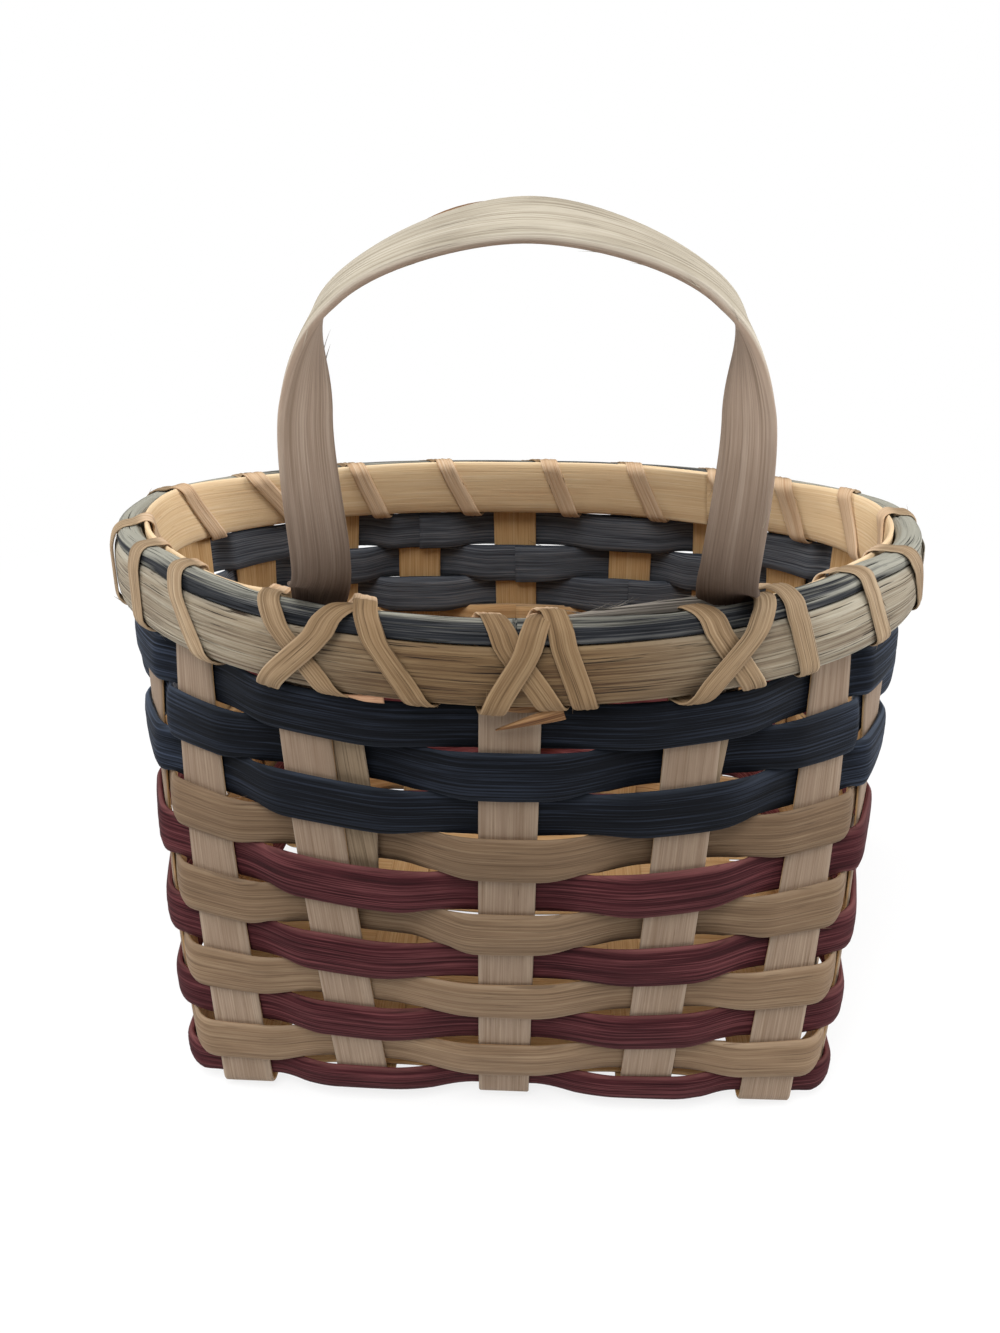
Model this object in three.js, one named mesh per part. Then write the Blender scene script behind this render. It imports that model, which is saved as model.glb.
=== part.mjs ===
// A small oval-rimmed basket woven from flat reed, with one bent handle lashed
// inside its near wall. Millimetres, +Z up; -Y is the near wall, +X its right.
//
// Every strip is laid on one wall surface. A place on it has a station (how many
// stakes have been passed, clockwise from the middle near stake), a height along
// the stakes, and an offset outward from the middle of the stakes' thickness.
import * as THREE from 'three';

// Gap that touching pieces keep
const gap = 0.3;

// Base: a rounded rectangle, measured to the middle of the stakes
const baseLength = 204;
const baseWidth = 154;
const baseCornerRadius = 12;
const bendRadius = 5;

// Rim: an oval, deeper on the near side, measured to the middle of the stakes
const rimLength = 239;
const rimNearDepth = 83.5;
const rimFarDepth = 64;
const rimNearFullness = 1.94;
const rimFarFullness = 2.36;
const rimHeight = 150.7;
const wallBow = 3;

// Stakes: five run across the base from near to far, four along it
const stakeWidth = 16;
const stakeThickness = 1.2;
const crossStakeBaseX = [-83, -44.5, 0, 44.5, 83];
const crossStakeNearRimX = [-88, -54, 2, 50, 89];
const crossStakeFarRimX = [-68, -38, -2, 42, 72];
const longStakeBaseY = [-58.5, -19.5, 19.5, 58.5];
const longStakeRimY = [-37, -5, 25, 43];

// Filler strips woven between the long stakes of the base
const baseFillerWidth = 16;
const baseFillerThickness = 1.2;
const baseFillerEnd = 2.5;

// Weavers: one closed ring for each row, counted from the rim down. They press
// together between the stakes, where they are narrower. The lowest row is
// narrow all the way round, so that it clears the floor.
const weaverRows = 11;
const weaverWidth = 14.2;
const pressedWidth = 13.1;
const lowestRowWidth = 10.8;
const weaverThickness = 2.2;
const weaverBevel = 1.8;
const rowPitch = 13.49;
const lowestRowTop = 14.75;
const navyRows = [1, 2, 3];
const burgundyRows = [5, 7, 9, 11];
const holdRoom = 0.8;

// Rim: a band on each side of the stakes, a round-topped filler over them, and
// the lashing that winds round all three
const outerBandHeight = 16;
const outerBandThickness = 2.5;
const innerBandHeight = 20.4;
const innerBandThickness = 2;
const innerBandStep = 0.5;
const bandBevel = 1.6;
const bandRoom = 0.45;
const rimFillerHeight = 3.6;
const rimFillerOverlap = 1.2;
const rimFillerShoulder = 0.55 * rimFillerHeight;
const lashingWidth = 6;
const lashingThickness = 1;
const lashingRoom = 0.75;
const lashingLift = 1.9;

// Handle: one strip whose tails lie between the near stakes and the inner band
const handleWidth = 15.5;
const handleThickness = 3;
const handleBevel = 2.5;
const tailThickness = 1.8;
const tailTipWidth = 7;
const tailTipLength = 26;
const tailEndHeight = 83.4;
const tailTopHeight = 173.4;
const fullThicknessHeight = 191.4;
const tailSetback = 7;
const leftTailDrift = 0.049;
const rightTailDrift = -0.095;
const handleCentreX = 5;
const archHeights = [185.7, 222.9, 246.7];
const archHalfSpans = [49, 50.1, 43.7];
const archDepths = [-80.3, -78, -72.2];
const archTwists = [36.4, 52, 101.4];
const archTop = { height: 262.6, depth: -70.5, twist: 118.6 };

// Colours and roughness
const naturalReed = { color: 0xb59a78, roughness: 0.7 };
const stakeReed = { color: 0xa98c6c, roughness: 0.75 };
const bandReed = { color: 0xc0a684, roughness: 0.65 };
const handleReed = { color: 0xc8b496, roughness: 0.6 };
const navyReed = { color: 0x2b2f3a, roughness: 0.7 };
const burgundyReed = { color: 0x6a333a, roughness: 0.7 };
const smokedReed = { color: 0x55545a, roughness: 0.8 };

// Heights and offsets that follow from the sizes above
const baseCrossing = (stakeThickness + gap) / 2;
const baseHeight = baseCrossing + stakeThickness / 2;
const bendTop = baseHeight + bendRadius;
const bendStart = bendTop - bendRadius * Math.PI / 2;
const weaveOffset = (stakeThickness + weaverThickness) / 2 + gap;
const lowestRowHeight = lowestRowTop - lowestRowWidth / 2;
const topRowHeight = lowestRowTop - pressedWidth / 2 + (weaverRows - 1) * rowPitch;
const slotHeight = topRowHeight + pressedWidth / 2 + lashingRoom + lashingThickness / 2;
const outerBandBottom = slotHeight + lashingThickness / 2 + lashingRoom;
const outerBandTop = outerBandBottom + outerBandHeight;
const innerBandBottom = outerBandBottom + innerBandStep;
const innerBandTop = innerBandBottom + innerBandHeight;
const rimMiddle = outerBandBottom + outerBandHeight / 2;
const rimFillerBottom = outerBandTop + gap;
const rimFillerTop = rimFillerBottom + rimFillerHeight;
const bandOffset = weaveOffset + weaverThickness / 2 + bandRoom;
const legOffset = -(stakeThickness / 2 + gap + tailThickness / 2);
const legRoom = tailThickness + gap;

// Order of the stakes round the basket, clockwise from the middle near one
const crossCount = crossStakeBaseX.length;
const longCount = longStakeBaseY.length;
const middleStake = (crossCount - 1) / 2;
const stakeCount = 2 * (crossCount + longCount);
const farStart = middleStake + 1 + longCount;
const rightStart = farStart + crossCount;
const nearFirst = stakeCount - middleStake;
const leftLegStake = 1;
const rightLegStake = stakeCount - 1;
const stopsPerStake = 3;

// Fineness of the outlines, the bend, the lashing and the handle
const tiny = 1e-6;
const arcSteps = 48;
const rimSteps = 720;
const stationStep = 0.02;
const heightStep = 0.1;
const bendColumns = 4;
const firstStep = 0.1;
const stepPasses = 8;
const halvings = 30;
const lashingStep = 4.5;
const liftingShare = 0.2;
const gapSample = 0.7;
const gapSearch = 2;
const passLength = 15;
const tailSteps = 6;
const archSteps = 6;

// Plan outlines, clockwise from the middle of the near side
function baseOutline() {
  const x = baseLength / 2 - baseCornerRadius;
  const y = baseWidth / 2 - baseCornerRadius;
  const path = new THREE.Path();
  path.moveTo(0, -baseWidth / 2);
  path.lineTo(-x, -baseWidth / 2);
  path.absarc(-x, -y, baseCornerRadius, -Math.PI / 2, -Math.PI, true);
  path.absarc(-x, y, baseCornerRadius, Math.PI, Math.PI / 2, true);
  path.absarc(x, y, baseCornerRadius, Math.PI / 2, 0, true);
  path.absarc(x, -y, baseCornerRadius, 0, -Math.PI / 2, true);
  return path.getPoints(arcSteps);
}

function rimOutline() {
  return Array.from({ length: rimSteps }, (_, step) => {
    const angle = 2 * Math.PI * step / rimSteps;
    const near = Math.cos(angle) > 0;
    const depth = near ? -rimNearDepth : rimFarDepth;
    const power = 2 / (near ? rimNearFullness : rimFarFullness);
    const x = -Math.sign(Math.sin(angle)) * Math.abs(Math.sin(angle)) ** power;
    const y = Math.abs(Math.cos(angle)) ** power;
    return new THREE.Vector2(x * rimLength / 2, y * depth);
  });
}

// A closed outline with one mark for each stake. A station between two marks
// lies between them on the outline, without a kink at the marks.
class Ring {
  constructor(outline, marks) {
    this.points = outline.filter((point, i) => i === 0 || point.distanceTo(outline[i - 1]) > tiny);
    this.lengths = [0];
    this.points.forEach((point, i) => {
      const next = this.points[(i + 1) % this.points.length];
      this.lengths.push(this.lengths[i] + point.distanceTo(next));
    });
    this.length = this.lengths.at(-1);
    this.marks = marks.map((mark) => this.distanceOf(mark));
    if (this.marks[0] > this.length / 2) this.marks[0] -= this.length;
  }

  distanceOf({ axis, value, side, sign }) {
    for (let i = 0; i < this.points.length; i += 1) {
      const from = this.points[i];
      const to = this.points[(i + 1) % this.points.length];
      const before = from[axis] - value;
      const after = to[axis] - value;
      if ((before <= 0) !== (after <= 0) && from[side] * sign > 0) {
        const share = before / (before - after);
        return THREE.MathUtils.lerp(this.lengths[i], this.lengths[i + 1], share);
      }
    }
    throw new Error('a stake mark lies off the outline');
  }

  mark(index) {
    const turns = Math.floor(index / this.marks.length);
    return this.marks[index - turns * this.marks.length] + turns * this.length;
  }

  slope(index) {
    const before = this.mark(index) - this.mark(index - 1);
    const after = this.mark(index + 1) - this.mark(index);
    return 2 * before * after / (before + after);
  }

  at(station) {
    const index = Math.floor(station);
    const share = station - index;
    const rest = 1 - share;
    const distance = this.mark(index) * rest * rest * (1 + 2 * share)
      + this.mark(index + 1) * share * share * (1 + 2 * rest)
      + this.slope(index) * share * rest * rest
      - this.slope(index + 1) * share * share * rest;
    return this.atDistance(distance);
  }

  atDistance(distance) {
    const along = THREE.MathUtils.euclideanModulo(distance, this.length);
    let low = 0;
    let high = this.points.length;
    while (high - low > 1) {
      const middle = (low + high) >> 1;
      if (this.lengths[middle] <= along) low = middle;
      else high = middle;
    }
    const share = (along - this.lengths[low]) / (this.lengths[low + 1] - this.lengths[low]);
    return this.points[low].clone().lerp(this.points[(low + 1) % this.points.length], share);
  }
}

function stakeMarks(nearX, farX, sideY) {
  const near = nearX.map((value) => ({ axis: 'x', value, side: 'y', sign: -1 })).reverse();
  const far = farX.map((value) => ({ axis: 'x', value, side: 'y', sign: 1 }));
  const left = sideY.map((value) => ({ axis: 'y', value, side: 'x', sign: -1 }));
  const right = sideY.map((value) => ({ axis: 'y', value, side: 'x', sign: 1 })).reverse();
  return [...near.slice(middleStake), ...left, ...far, ...right, ...near.slice(0, middleStake)];
}

const baseRing = new Ring(baseOutline(), stakeMarks(crossStakeBaseX, crossStakeBaseX, longStakeBaseY));
const rimRing = new Ring(rimOutline(), stakeMarks(crossStakeNearRimX, crossStakeFarRimX, longStakeRimY));

// The wall surface. Below the bend's top the height runs on round the bend, so
// that it stays a length along the stake.
function planPoint(station, rise) {
  return baseRing.at(station).lerp(rimRing.at(station), rise);
}

function wallPoint(station, height) {
  const angle = Math.min(Math.max((height - bendStart) / bendRadius, 0), Math.PI / 2);
  const z = height < bendTop ? bendTop - bendRadius * Math.cos(angle) : height;
  const rise = (z - baseHeight) / (rimHeight - baseHeight);
  const plan = planPoint(station, rise);
  const along = planPoint(station + stationStep, rise).sub(planPoint(station - stationStep, rise)).normalize();
  const outward = 4 * wallBow * rise * (1 - rise) - bendRadius * (1 - Math.sin(angle));
  return new THREE.Vector3(plan.x - along.y * outward, plan.y + along.x * outward, z);
}

function frameFrom(point, before, after, station, height) {
  const along = after.clone().sub(before).normalize();
  const up = wallPoint(station, height + heightStep).sub(wallPoint(station, height - heightStep));
  const out = new THREE.Vector3().crossVectors(up, along).normalize();
  return { point, along, out };
}

function wallFrame(station, height) {
  const before = wallPoint(station - stationStep, height);
  const after = wallPoint(station + stationStep, height);
  return frameFrom(wallPoint(station, height), before, after, station, height);
}

// The wall point a given distance beside a stake's middle, at one height
function pointBeside(stake, height, distance) {
  const origin = wallPoint(stake, height);
  let step = firstStep * Math.sign(distance);
  for (let pass = 0; pass < stepPasses; pass += 1) {
    step *= Math.abs(distance) / wallPoint(stake + step, height).distanceTo(origin);
  }
  return wallPoint(stake + step, height);
}

// A stake is flat across its width, and what lies on it is placed in its plane
const stakeFrames = new Map();

function stakeFrame(stake, height) {
  const key = `${stake} ${height}`;
  if (!stakeFrames.has(key)) {
    const before = pointBeside(stake, height, -stakeWidth / 2);
    const after = pointBeside(stake, height, stakeWidth / 2);
    const middle = before.clone().lerp(after, 0.5);
    stakeFrames.set(key, frameFrom(middle, before, after, stake, height));
  }
  return stakeFrames.get(key);
}

function placeOnStake(stake, height, beside, offset) {
  const { point, along, out } = stakeFrame(stake, height);
  return point.clone().addScaledVector(along, beside).addScaledVector(out, offset);
}

// A solid through a list of sections, which all have the same number of points.
// Inner and outer faces are split along the same diagonal, so that the twisted
// faces of strips that lie on each other keep their gap.
function loft(sections, closed) {
  const count = sections[0].length;
  const points = sections.flat();
  const triangles = [];
  const spans = closed ? sections.length : sections.length - 1;
  for (let span = 0; span < spans; span += 1) {
    const from = span * count;
    const to = ((span + 1) % sections.length) * count;
    for (let corner = 0; corner < count; corner += 1) {
      const next = (corner + 1) % count;
      if (corner < count / 2) {
        triangles.push(from + corner, from + next, to + next);
        triangles.push(from + corner, to + next, to + corner);
      } else {
        triangles.push(from + corner, from + next, to + corner);
        triangles.push(from + next, to + next, to + corner);
      }
    }
  }
  if (!closed) {
    const last = (sections.length - 1) * count;
    for (let corner = 1; corner < count - 1; corner += 1) {
      triangles.push(0, corner + 1, corner);
      triangles.push(last, last + corner, last + corner + 1);
    }
  }
  let volume = 0;
  for (let i = 0; i < triangles.length; i += 3) {
    const [a, b, c] = triangles.slice(i, i + 3).map((index) => points[index]);
    volume += a.dot(new THREE.Vector3().crossVectors(b, c));
  }
  if (volume < 0) triangles.reverse();
  const geometry = new THREE.BufferGeometry().setFromPoints(points);
  geometry.setIndex(triangles);
  geometry.computeVertexNormals();
  return geometry;
}

// Section of a flat-oval reed, flat inside and bevelled outside. Each point is a
// distance across the reed and a distance outward.
function flatOval(width, thickness, bevel, steps = 1) {
  const inside = [];
  const outside = [];
  for (let step = 0; step <= steps; step += 1) {
    const share = step / steps - 0.5;
    inside.push([share * width, -thickness / 2]);
    outside.unshift([share * (width - 2 * bevel), thickness / 2]);
  }
  return [...inside, ...outside];
}

// How far each handle tail lies beside its stake, towards the stake before it
function tailBeside(stake, height) {
  const drift = stake === leftLegStake ? leftTailDrift : rightTailDrift;
  return tailSetback + drift * (tailTopHeight - height);
}

function isLegStake(stake) {
  return stake === leftLegStake || stake === rightLegStake;
}

function tailReach(stake, low, high) {
  return Math.max(tailBeside(stake, low), tailBeside(stake, high)) + handleWidth / 2;
}

// Stops round a ring that spans two heights: it holds one offset over each stake,
// and over a handle tail beside it where coversTails is set. One stop more lies
// half way to the next stake.
function ringStops(low, high, coversTails) {
  const reach = stakeWidth / 2;
  const stops = [];
  for (let stake = 0; stake < stakeCount; stake += 1) {
    const leg = coversTails && isLegStake(stake);
    const before = leg ? Math.max(reach, tailReach(stake, low, high)) : reach;
    stops.push({ stake, beside: -before - holdRoom });
    stops.push({ stake, beside: reach + holdRoom });
    stops.push({ station: stake + 0.5 });
  }
  return stops;
}

function placeAtStop(stop, height, offset) {
  if (stop.stake !== undefined) return placeOnStake(stop.stake, height, stop.beside, offset);
  const { point, out } = wallFrame(stop.station, height);
  return point.addScaledVector(out, offset);
}

// The offset of a ring at each of its stops. Half way between two stakes it is
// the mean of theirs, or the one given.
function stopOffset(stop, offsetOf, between) {
  if (stop.stake !== undefined) return offsetOf(stop.stake);
  if (between !== undefined) return between;
  const before = Math.floor(stop.station);
  return (offsetOf(before) + offsetOf((before + 1) % stakeCount)) / 2;
}

// The profile is that over the stakes, or the pressed one where it is given
function ringGeometry(stops, height, profile, offsetOf, between, pressed = profile) {
  return loft(stops.map((stop) => {
    const offset = stopOffset(stop, offsetOf, between);
    const section = stop.stake === undefined ? pressed : profile;
    return section.map(([across, out]) => placeAtStop(stop, height + across, offset + out));
  }), true);
}

// Everything in the rim shares one set of stops
const rimStops = ringStops(outerBandBottom, tailTopHeight, true);

// Weavers. Row 0 is the one that the rim bands hide, and row 1 has the lashing
// close above it, so these two are as narrow over the stakes as between them.
function rowHeight(row) {
  if (row === 0) return outerBandBottom + pressedWidth / 2;
  return row === weaverRows ? lowestRowHeight : topRowHeight - (row - 1) * rowPitch;
}

function rowWidths(row) {
  if (row === weaverRows) return [lowestRowWidth, lowestRowWidth];
  return [row <= 1 ? pressedWidth : weaverWidth, pressedWidth];
}

function weaverGeometry(row) {
  const height = rowHeight(row);
  const widths = rowWidths(row);
  const width = Math.max(...widths);
  const low = height - width / 2;
  const high = height + width / 2;
  const coversTails = high > tailEndHeight - gap;
  const offsetOf = (stake) => {
    if ((stake + row) % 2 === 0) return weaveOffset;
    return -weaveOffset - (coversTails && isLegStake(stake) ? legRoom : 0);
  };
  const columns = row === weaverRows ? bendColumns : 1;
  const [profile, pressed] = widths.map((across) => flatOval(across, weaverThickness, weaverBevel, columns));
  const stops = row === 0 ? rimStops : ringStops(low, high, coversTails);
  return ringGeometry(stops, height, profile, offsetOf, undefined, pressed);
}

// Base strips from near to far: the long stakes, with a filler between each two
const baseStrips = longStakeBaseY.flatMap((y, index) => {
  const strip = { y, width: stakeWidth };
  if (index === longCount - 1) return [strip];
  return [strip, { y: (y + longStakeBaseY[index + 1]) / 2, width: baseFillerWidth }];
});

// Offsets are outward, which is down in the base
function crossStakeOffset(crossIndex, stripIndex) {
  return (crossIndex + stripIndex) % 2 === 0 ? -baseCrossing : baseCrossing;
}

function crossStakeHolds(crossIndex) {
  return baseStrips.flatMap(({ y, width }, stripIndex) => {
    const offset = crossStakeOffset(crossIndex, stripIndex);
    return [{ at: y - width / 2, offset }, { at: y + width / 2, offset }];
  });
}

function stripHolds(stripIndex) {
  return crossStakeBaseX.flatMap((x, crossIndex) => {
    const offset = -crossStakeOffset(crossIndex, stripIndex);
    return [{ at: x - stakeWidth / 2, offset }, { at: x + stakeWidth / 2, offset }];
  });
}

// A stake comes down one wall, crosses the base and goes up the other wall. Its
// sections on the wall lie between the rows, and within the bend: one below the
// lowest row and the others on its columns.
function stakeHeights() {
  const lowestRowBottom = lowestRowTop - lowestRowWidth;
  const heights = [(bendStart + lowestRowBottom) / 2];
  for (let step = 0; step <= bendColumns; step += 1) {
    heights.push(lowestRowBottom + lowestRowWidth * step / bendColumns);
  }
  for (let row = weaverRows - 1; row > 1; row -= 1) {
    heights.push(rowHeight(row) + rowPitch / 2);
  }
  return [...heights, slotHeight, outerBandBottom + pressedWidth, outerBandTop];
}

function stakeSection(stake, height, offset, direction) {
  return [[-1, -1], [1, -1], [1, 1], [-1, 1]].map(([side, face]) => placeOnStake(
    stake,
    height,
    direction * side * stakeWidth / 2,
    offset + face * stakeThickness / 2,
  ));
}

function stakeGeometry(first, last, axis, holds) {
  const heights = stakeHeights();
  const firstWall = heights.map((height) => stakeSection(first, height, 0, -1)).reverse();
  const lastWall = heights.map((height) => stakeSection(last, height, 0, 1));
  const from = stakeSection(first, bendStart, holds[0].offset, -1);
  const to = stakeSection(last, bendStart, holds.at(-1).offset, 1);
  const base = holds.map(({ at, offset }) => from.map((corner, index) => {
    const share = (at - corner[axis]) / (to[index][axis] - corner[axis]);
    const point = corner.clone().lerp(to[index], share);
    const face = index < 2 ? -1 : 1;
    point.z = baseHeight - offset - face * stakeThickness / 2;
    return point;
  }));
  return loft([...firstWall, from, ...base, to, ...lastWall], false);
}

function crossStakeGeometry(index) {
  const near = (middleStake - index + stakeCount) % stakeCount;
  return stakeGeometry(near, farStart + index, 'y', crossStakeHolds(index));
}

function longStakeGeometry(index) {
  const right = rightStart + longCount - 1 - index;
  return stakeGeometry(right, middleStake + 1 + index, 'x', stripHolds(2 * index).reverse());
}

function baseFillerGeometry(index) {
  const stripIndex = 2 * index + 1;
  const { y, width } = baseStrips[stripIndex];
  const holds = stripHolds(stripIndex);
  const first = { at: holds[0].at - baseFillerEnd, offset: holds[0].offset };
  const last = { at: holds.at(-1).at + baseFillerEnd, offset: holds.at(-1).offset };
  return loft([first, ...holds, last].map(({ at, offset }) => (
    [[-1, -1], [1, -1], [1, 1], [-1, 1]].map(([side, face]) => new THREE.Vector3(
      at,
      y + side * width / 2,
      baseHeight - offset + face * baseFillerThickness / 2,
    ))
  )), false);
}

function outerBandGeometry() {
  const profile = flatOval(outerBandHeight, outerBandThickness, bandBevel);
  const offset = bandOffset + outerBandThickness / 2;
  return ringGeometry(rimStops, outerBandBottom + outerBandHeight / 2, profile, () => offset);
}

// The inner band bulges inward past the handle's tails
function innerBandGeometry() {
  const profile = flatOval(innerBandHeight, innerBandThickness, bandBevel)
    .map(([across, out]) => [across, -out]);
  const offset = -bandOffset - innerBandThickness / 2;
  const offsetOf = (stake) => offset - (isLegStake(stake) ? legRoom : 0);
  return ringGeometry(rimStops, innerBandBottom + innerBandHeight / 2, profile, offsetOf, offset);
}

// The filler lies over the stakes' ends. Over the two leg stakes its inner edge
// stops short of the handle's tails.
function rimFillerGeometry() {
  const outside = bandOffset + rimFillerOverlap;
  const inside = 2 * gap - bandOffset;
  const insideOf = (stake) => (isLegStake(stake) ? -stakeThickness / 2 : inside);
  return loft(rimStops.map((stop) => {
    const inner = stopOffset(stop, insideOf, inside);
    return [
      [inner, 0],
      [outside, 0],
      [outside, rimFillerShoulder],
      [outside - rimFillerShoulder, rimFillerHeight],
      [inner + rimFillerShoulder / 2, rimFillerHeight],
      [inner, rimFillerShoulder],
    ].map(([offset, rise]) => placeAtStop(stop, rimFillerBottom + rise, offset));
  }), true);
}

// Lengths round the rim, measured along the same straight spans as the bands
const rimLengths = [0];
rimStops.forEach((stop, i) => {
  const next = rimStops[(i + 1) % rimStops.length];
  const from = placeAtStop(stop, rimMiddle, 0);
  rimLengths.push(rimLengths[i] + from.distanceTo(placeAtStop(next, rimMiddle, 0)));
});
const rimTurn = rimLengths.at(-1);

function rimSpan(length) {
  const along = THREE.MathUtils.euclideanModulo(length, rimTurn);
  const span = rimLengths.findIndex((_, index) => rimLengths[index + 1] > along);
  return { span, share: (along - rimLengths[span]) / (rimLengths[span + 1] - rimLengths[span]) };
}

function onRim(length, height, offset) {
  const { span, share } = rimSpan(length);
  const next = rimStops[(span + 1) % rimStops.length];
  return placeAtStop(rimStops[span], height, offset).lerp(placeAtStop(next, height, offset), share);
}

function rimLengthBetween(stake) {
  return rimLengths[stopsPerStake * stake + 2];
}

function rimLengthPast(stake, beside) {
  return rimLengths[stopsPerStake * stake + 1] - stakeWidth / 2 - holdRoom + beside;
}

// Length round the rim at which its near side has a given x
function rimLengthAt(x) {
  let low = rimLengthPast(nearFirst, 0) - rimTurn;
  let high = rimLengthBetween(middleStake);
  for (let pass = 0; pass < halvings; pass += 1) {
    const middle = (low + high) / 2;
    if (onRim(middle, rimMiddle, bandOffset).x > x) low = middle;
    else high = middle;
  }
  return (low + high) / 2;
}

// Lashing: each turn goes under the rim, up the outside, over the top and down
// the inside. Near turns are given by their x. A raised run lies over the runs
// that it crosses.
const firstTurns = [
  { under: 24.8, over: 4.6 },
  { under: -10.5, over: 13, raisedOutside: true, raisedTop: true },
  { under: 15, over: -5 },
  { under: -18, over: -28.8, raisedTop: true, raisedInside: true },
  { under: -66, over: -36.8, raisedOutside: true },
  { under: -34, over: -62 },
  { under: -74, over: -83 },
];
const lastTurns = [
  { under: 77, over: 76, raisedTop: true, raisedInside: true },
  { under: 38.4, over: 69, raisedOutside: true },
  { under: 67, over: 43 },
];
const lashingEndX = 31.6;
const plainOverBeside = 4;

function lashingTurns() {
  const near = (turns, laps) => turns.map((turn) => ({
    ...turn,
    under: rimLengthAt(turn.under) + laps * rimTurn,
    over: rimLengthAt(turn.over) + laps * rimTurn,
  }));
  const plain = [];
  for (let stake = middleStake; stake < nearFirst; stake += 1) {
    plain.push({ under: rimLengthBetween(stake), over: rimLengthPast(stake + 1, plainOverBeside) });
  }
  return [...near(firstTurns, 0), ...plain, ...near(lastTurns, 1)];
}

// One half turn as a list of stops: a length round the rim, an offset and a
// height. Its corners are given as an offset and a height each. The lifts are
// those at its start, along its middle and at its end.
function halfTurn(corners, from, to, lifts) {
  const stops = [];
  let run = 0;
  corners.slice(1).forEach((corner, i) => {
    const before = corners[i];
    const length = Math.hypot(corner[0] - before[0], corner[1] - before[1]);
    const steps = Math.max(1, Math.round(length / lashingStep));
    for (let step = 0; step < steps; step += 1) {
      const share = step / steps;
      const offset = THREE.MathUtils.lerp(before[0], corner[0], share);
      const height = THREE.MathUtils.lerp(before[1], corner[1], share);
      stops.push({ run: run + length * share, offset, height });
    }
    run += length;
  });
  return stops.map((stop) => {
    const share = stop.run / run;
    const [outer, middle] = share < 0.5 ? lifts : [lifts[2], lifts[1]];
    const lifting = THREE.MathUtils.smoothstep(Math.min(share, 1 - share), 0, liftingShare);
    return {
      length: THREE.MathUtils.lerp(from, to, THREE.MathUtils.smoothstep(share, 0, 1)),
      offset: stop.offset,
      height: stop.height,
      lift: THREE.MathUtils.lerp(outer, middle, lifting),
    };
  });
}

function lashingStops() {
  const reach = lashingThickness / 2 + lashingRoom;
  const outside = bandOffset + outerBandThickness;
  const inside = bandOffset + innerBandThickness;
  const fillerEdge = bandOffset + rimFillerOverlap;
  const fillerCrown = rimFillerTop + reach;
  const bandCrown = innerBandTop + reach;
  const upCorners = [
    [0, slotHeight],
    [outside - bandBevel, slotHeight],
    [outside + reach, outerBandBottom + bandBevel / 2],
    [outside + reach, outerBandTop - bandBevel / 2],
    [fillerEdge + reach, rimFillerBottom + rimFillerShoulder + reach / 2],
    [fillerEdge - rimFillerShoulder + reach / 2, fillerCrown],
    [0, fillerCrown],
  ];
  const downCorners = [
    [0, fillerCrown],
    [-bandOffset, bandCrown],
    [-inside - reach, innerBandTop - bandBevel / 2],
    [-inside - reach, innerBandBottom + bandBevel / 2],
    [bandBevel - inside, slotHeight],
    [0, slotHeight],
  ];
  const turns = lashingTurns();
  const end = { under: rimLengthAt(lashingEndX) + rimTurn };
  return turns.flatMap((turn, index) => {
    const next = turns[index + 1] || end;
    const [outsideLift, topLift, insideLift] = [turn.raisedOutside, turn.raisedTop, turn.raisedInside]
      .map((raised) => (raised ? lashingLift : 0));
    return [
      ...halfTurn(upCorners, turn.under, turn.over, [0, outsideLift, topLift]),
      ...halfTurn(downCorners, turn.over, next.under, [topLift, insideLift, 0]),
    ];
  });
}

// How far the inner band bulges inward at a length round the rim
function bandBulge(length) {
  const { span, share } = rimSpan(length);
  const bulge = (stop) => (stop.stake !== undefined && isLegStake(stop.stake) ? legRoom : 0);
  return THREE.MathUtils.lerp(bulge(rimStops[span]), bulge(rimStops[(span + 1) % rimStops.length]), share);
}

// The strip is laid out flat, as length round the rim, offset and height, and
// then put on the rim corner by corner
function lashingPoints() {
  const stops = lashingStops();
  const centres = stops.map((stop, index) => {
    const before = stops[Math.max(index - 1, 0)];
    const after = stops[Math.min(index + 1, stops.length - 1)];
    const look = new THREE.Vector3(0, after.height - before.height, before.offset - after.offset).normalize();
    const centre = new THREE.Vector3(stop.length, stop.offset, stop.height).addScaledVector(look, stop.lift);
    return { look, centre };
  });
  return centres.map(({ look, centre }, index) => {
    const before = centres[Math.max(index - 1, 0)].centre;
    const after = centres[Math.min(index + 1, centres.length - 1)].centre;
    const way = after.clone().sub(before).normalize();
    const side = new THREE.Vector3().crossVectors(way, look).normalize();
    const face = new THREE.Vector3().crossVectors(side, way);
    return [[-1, -1], [1, -1], [1, 1], [-1, 1]].map(([across, out]) => {
      const place = centre.clone()
        .addScaledVector(side, across * lashingWidth / 2)
        .addScaledVector(face, out * lashingThickness / 2);
      const bulgeShare = THREE.MathUtils.clamp(-place.y / bandOffset, 0, 1);
      return onRim(place.x, place.z, place.y - bulgeShare * bandBulge(place.x));
    });
  });
}

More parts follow.
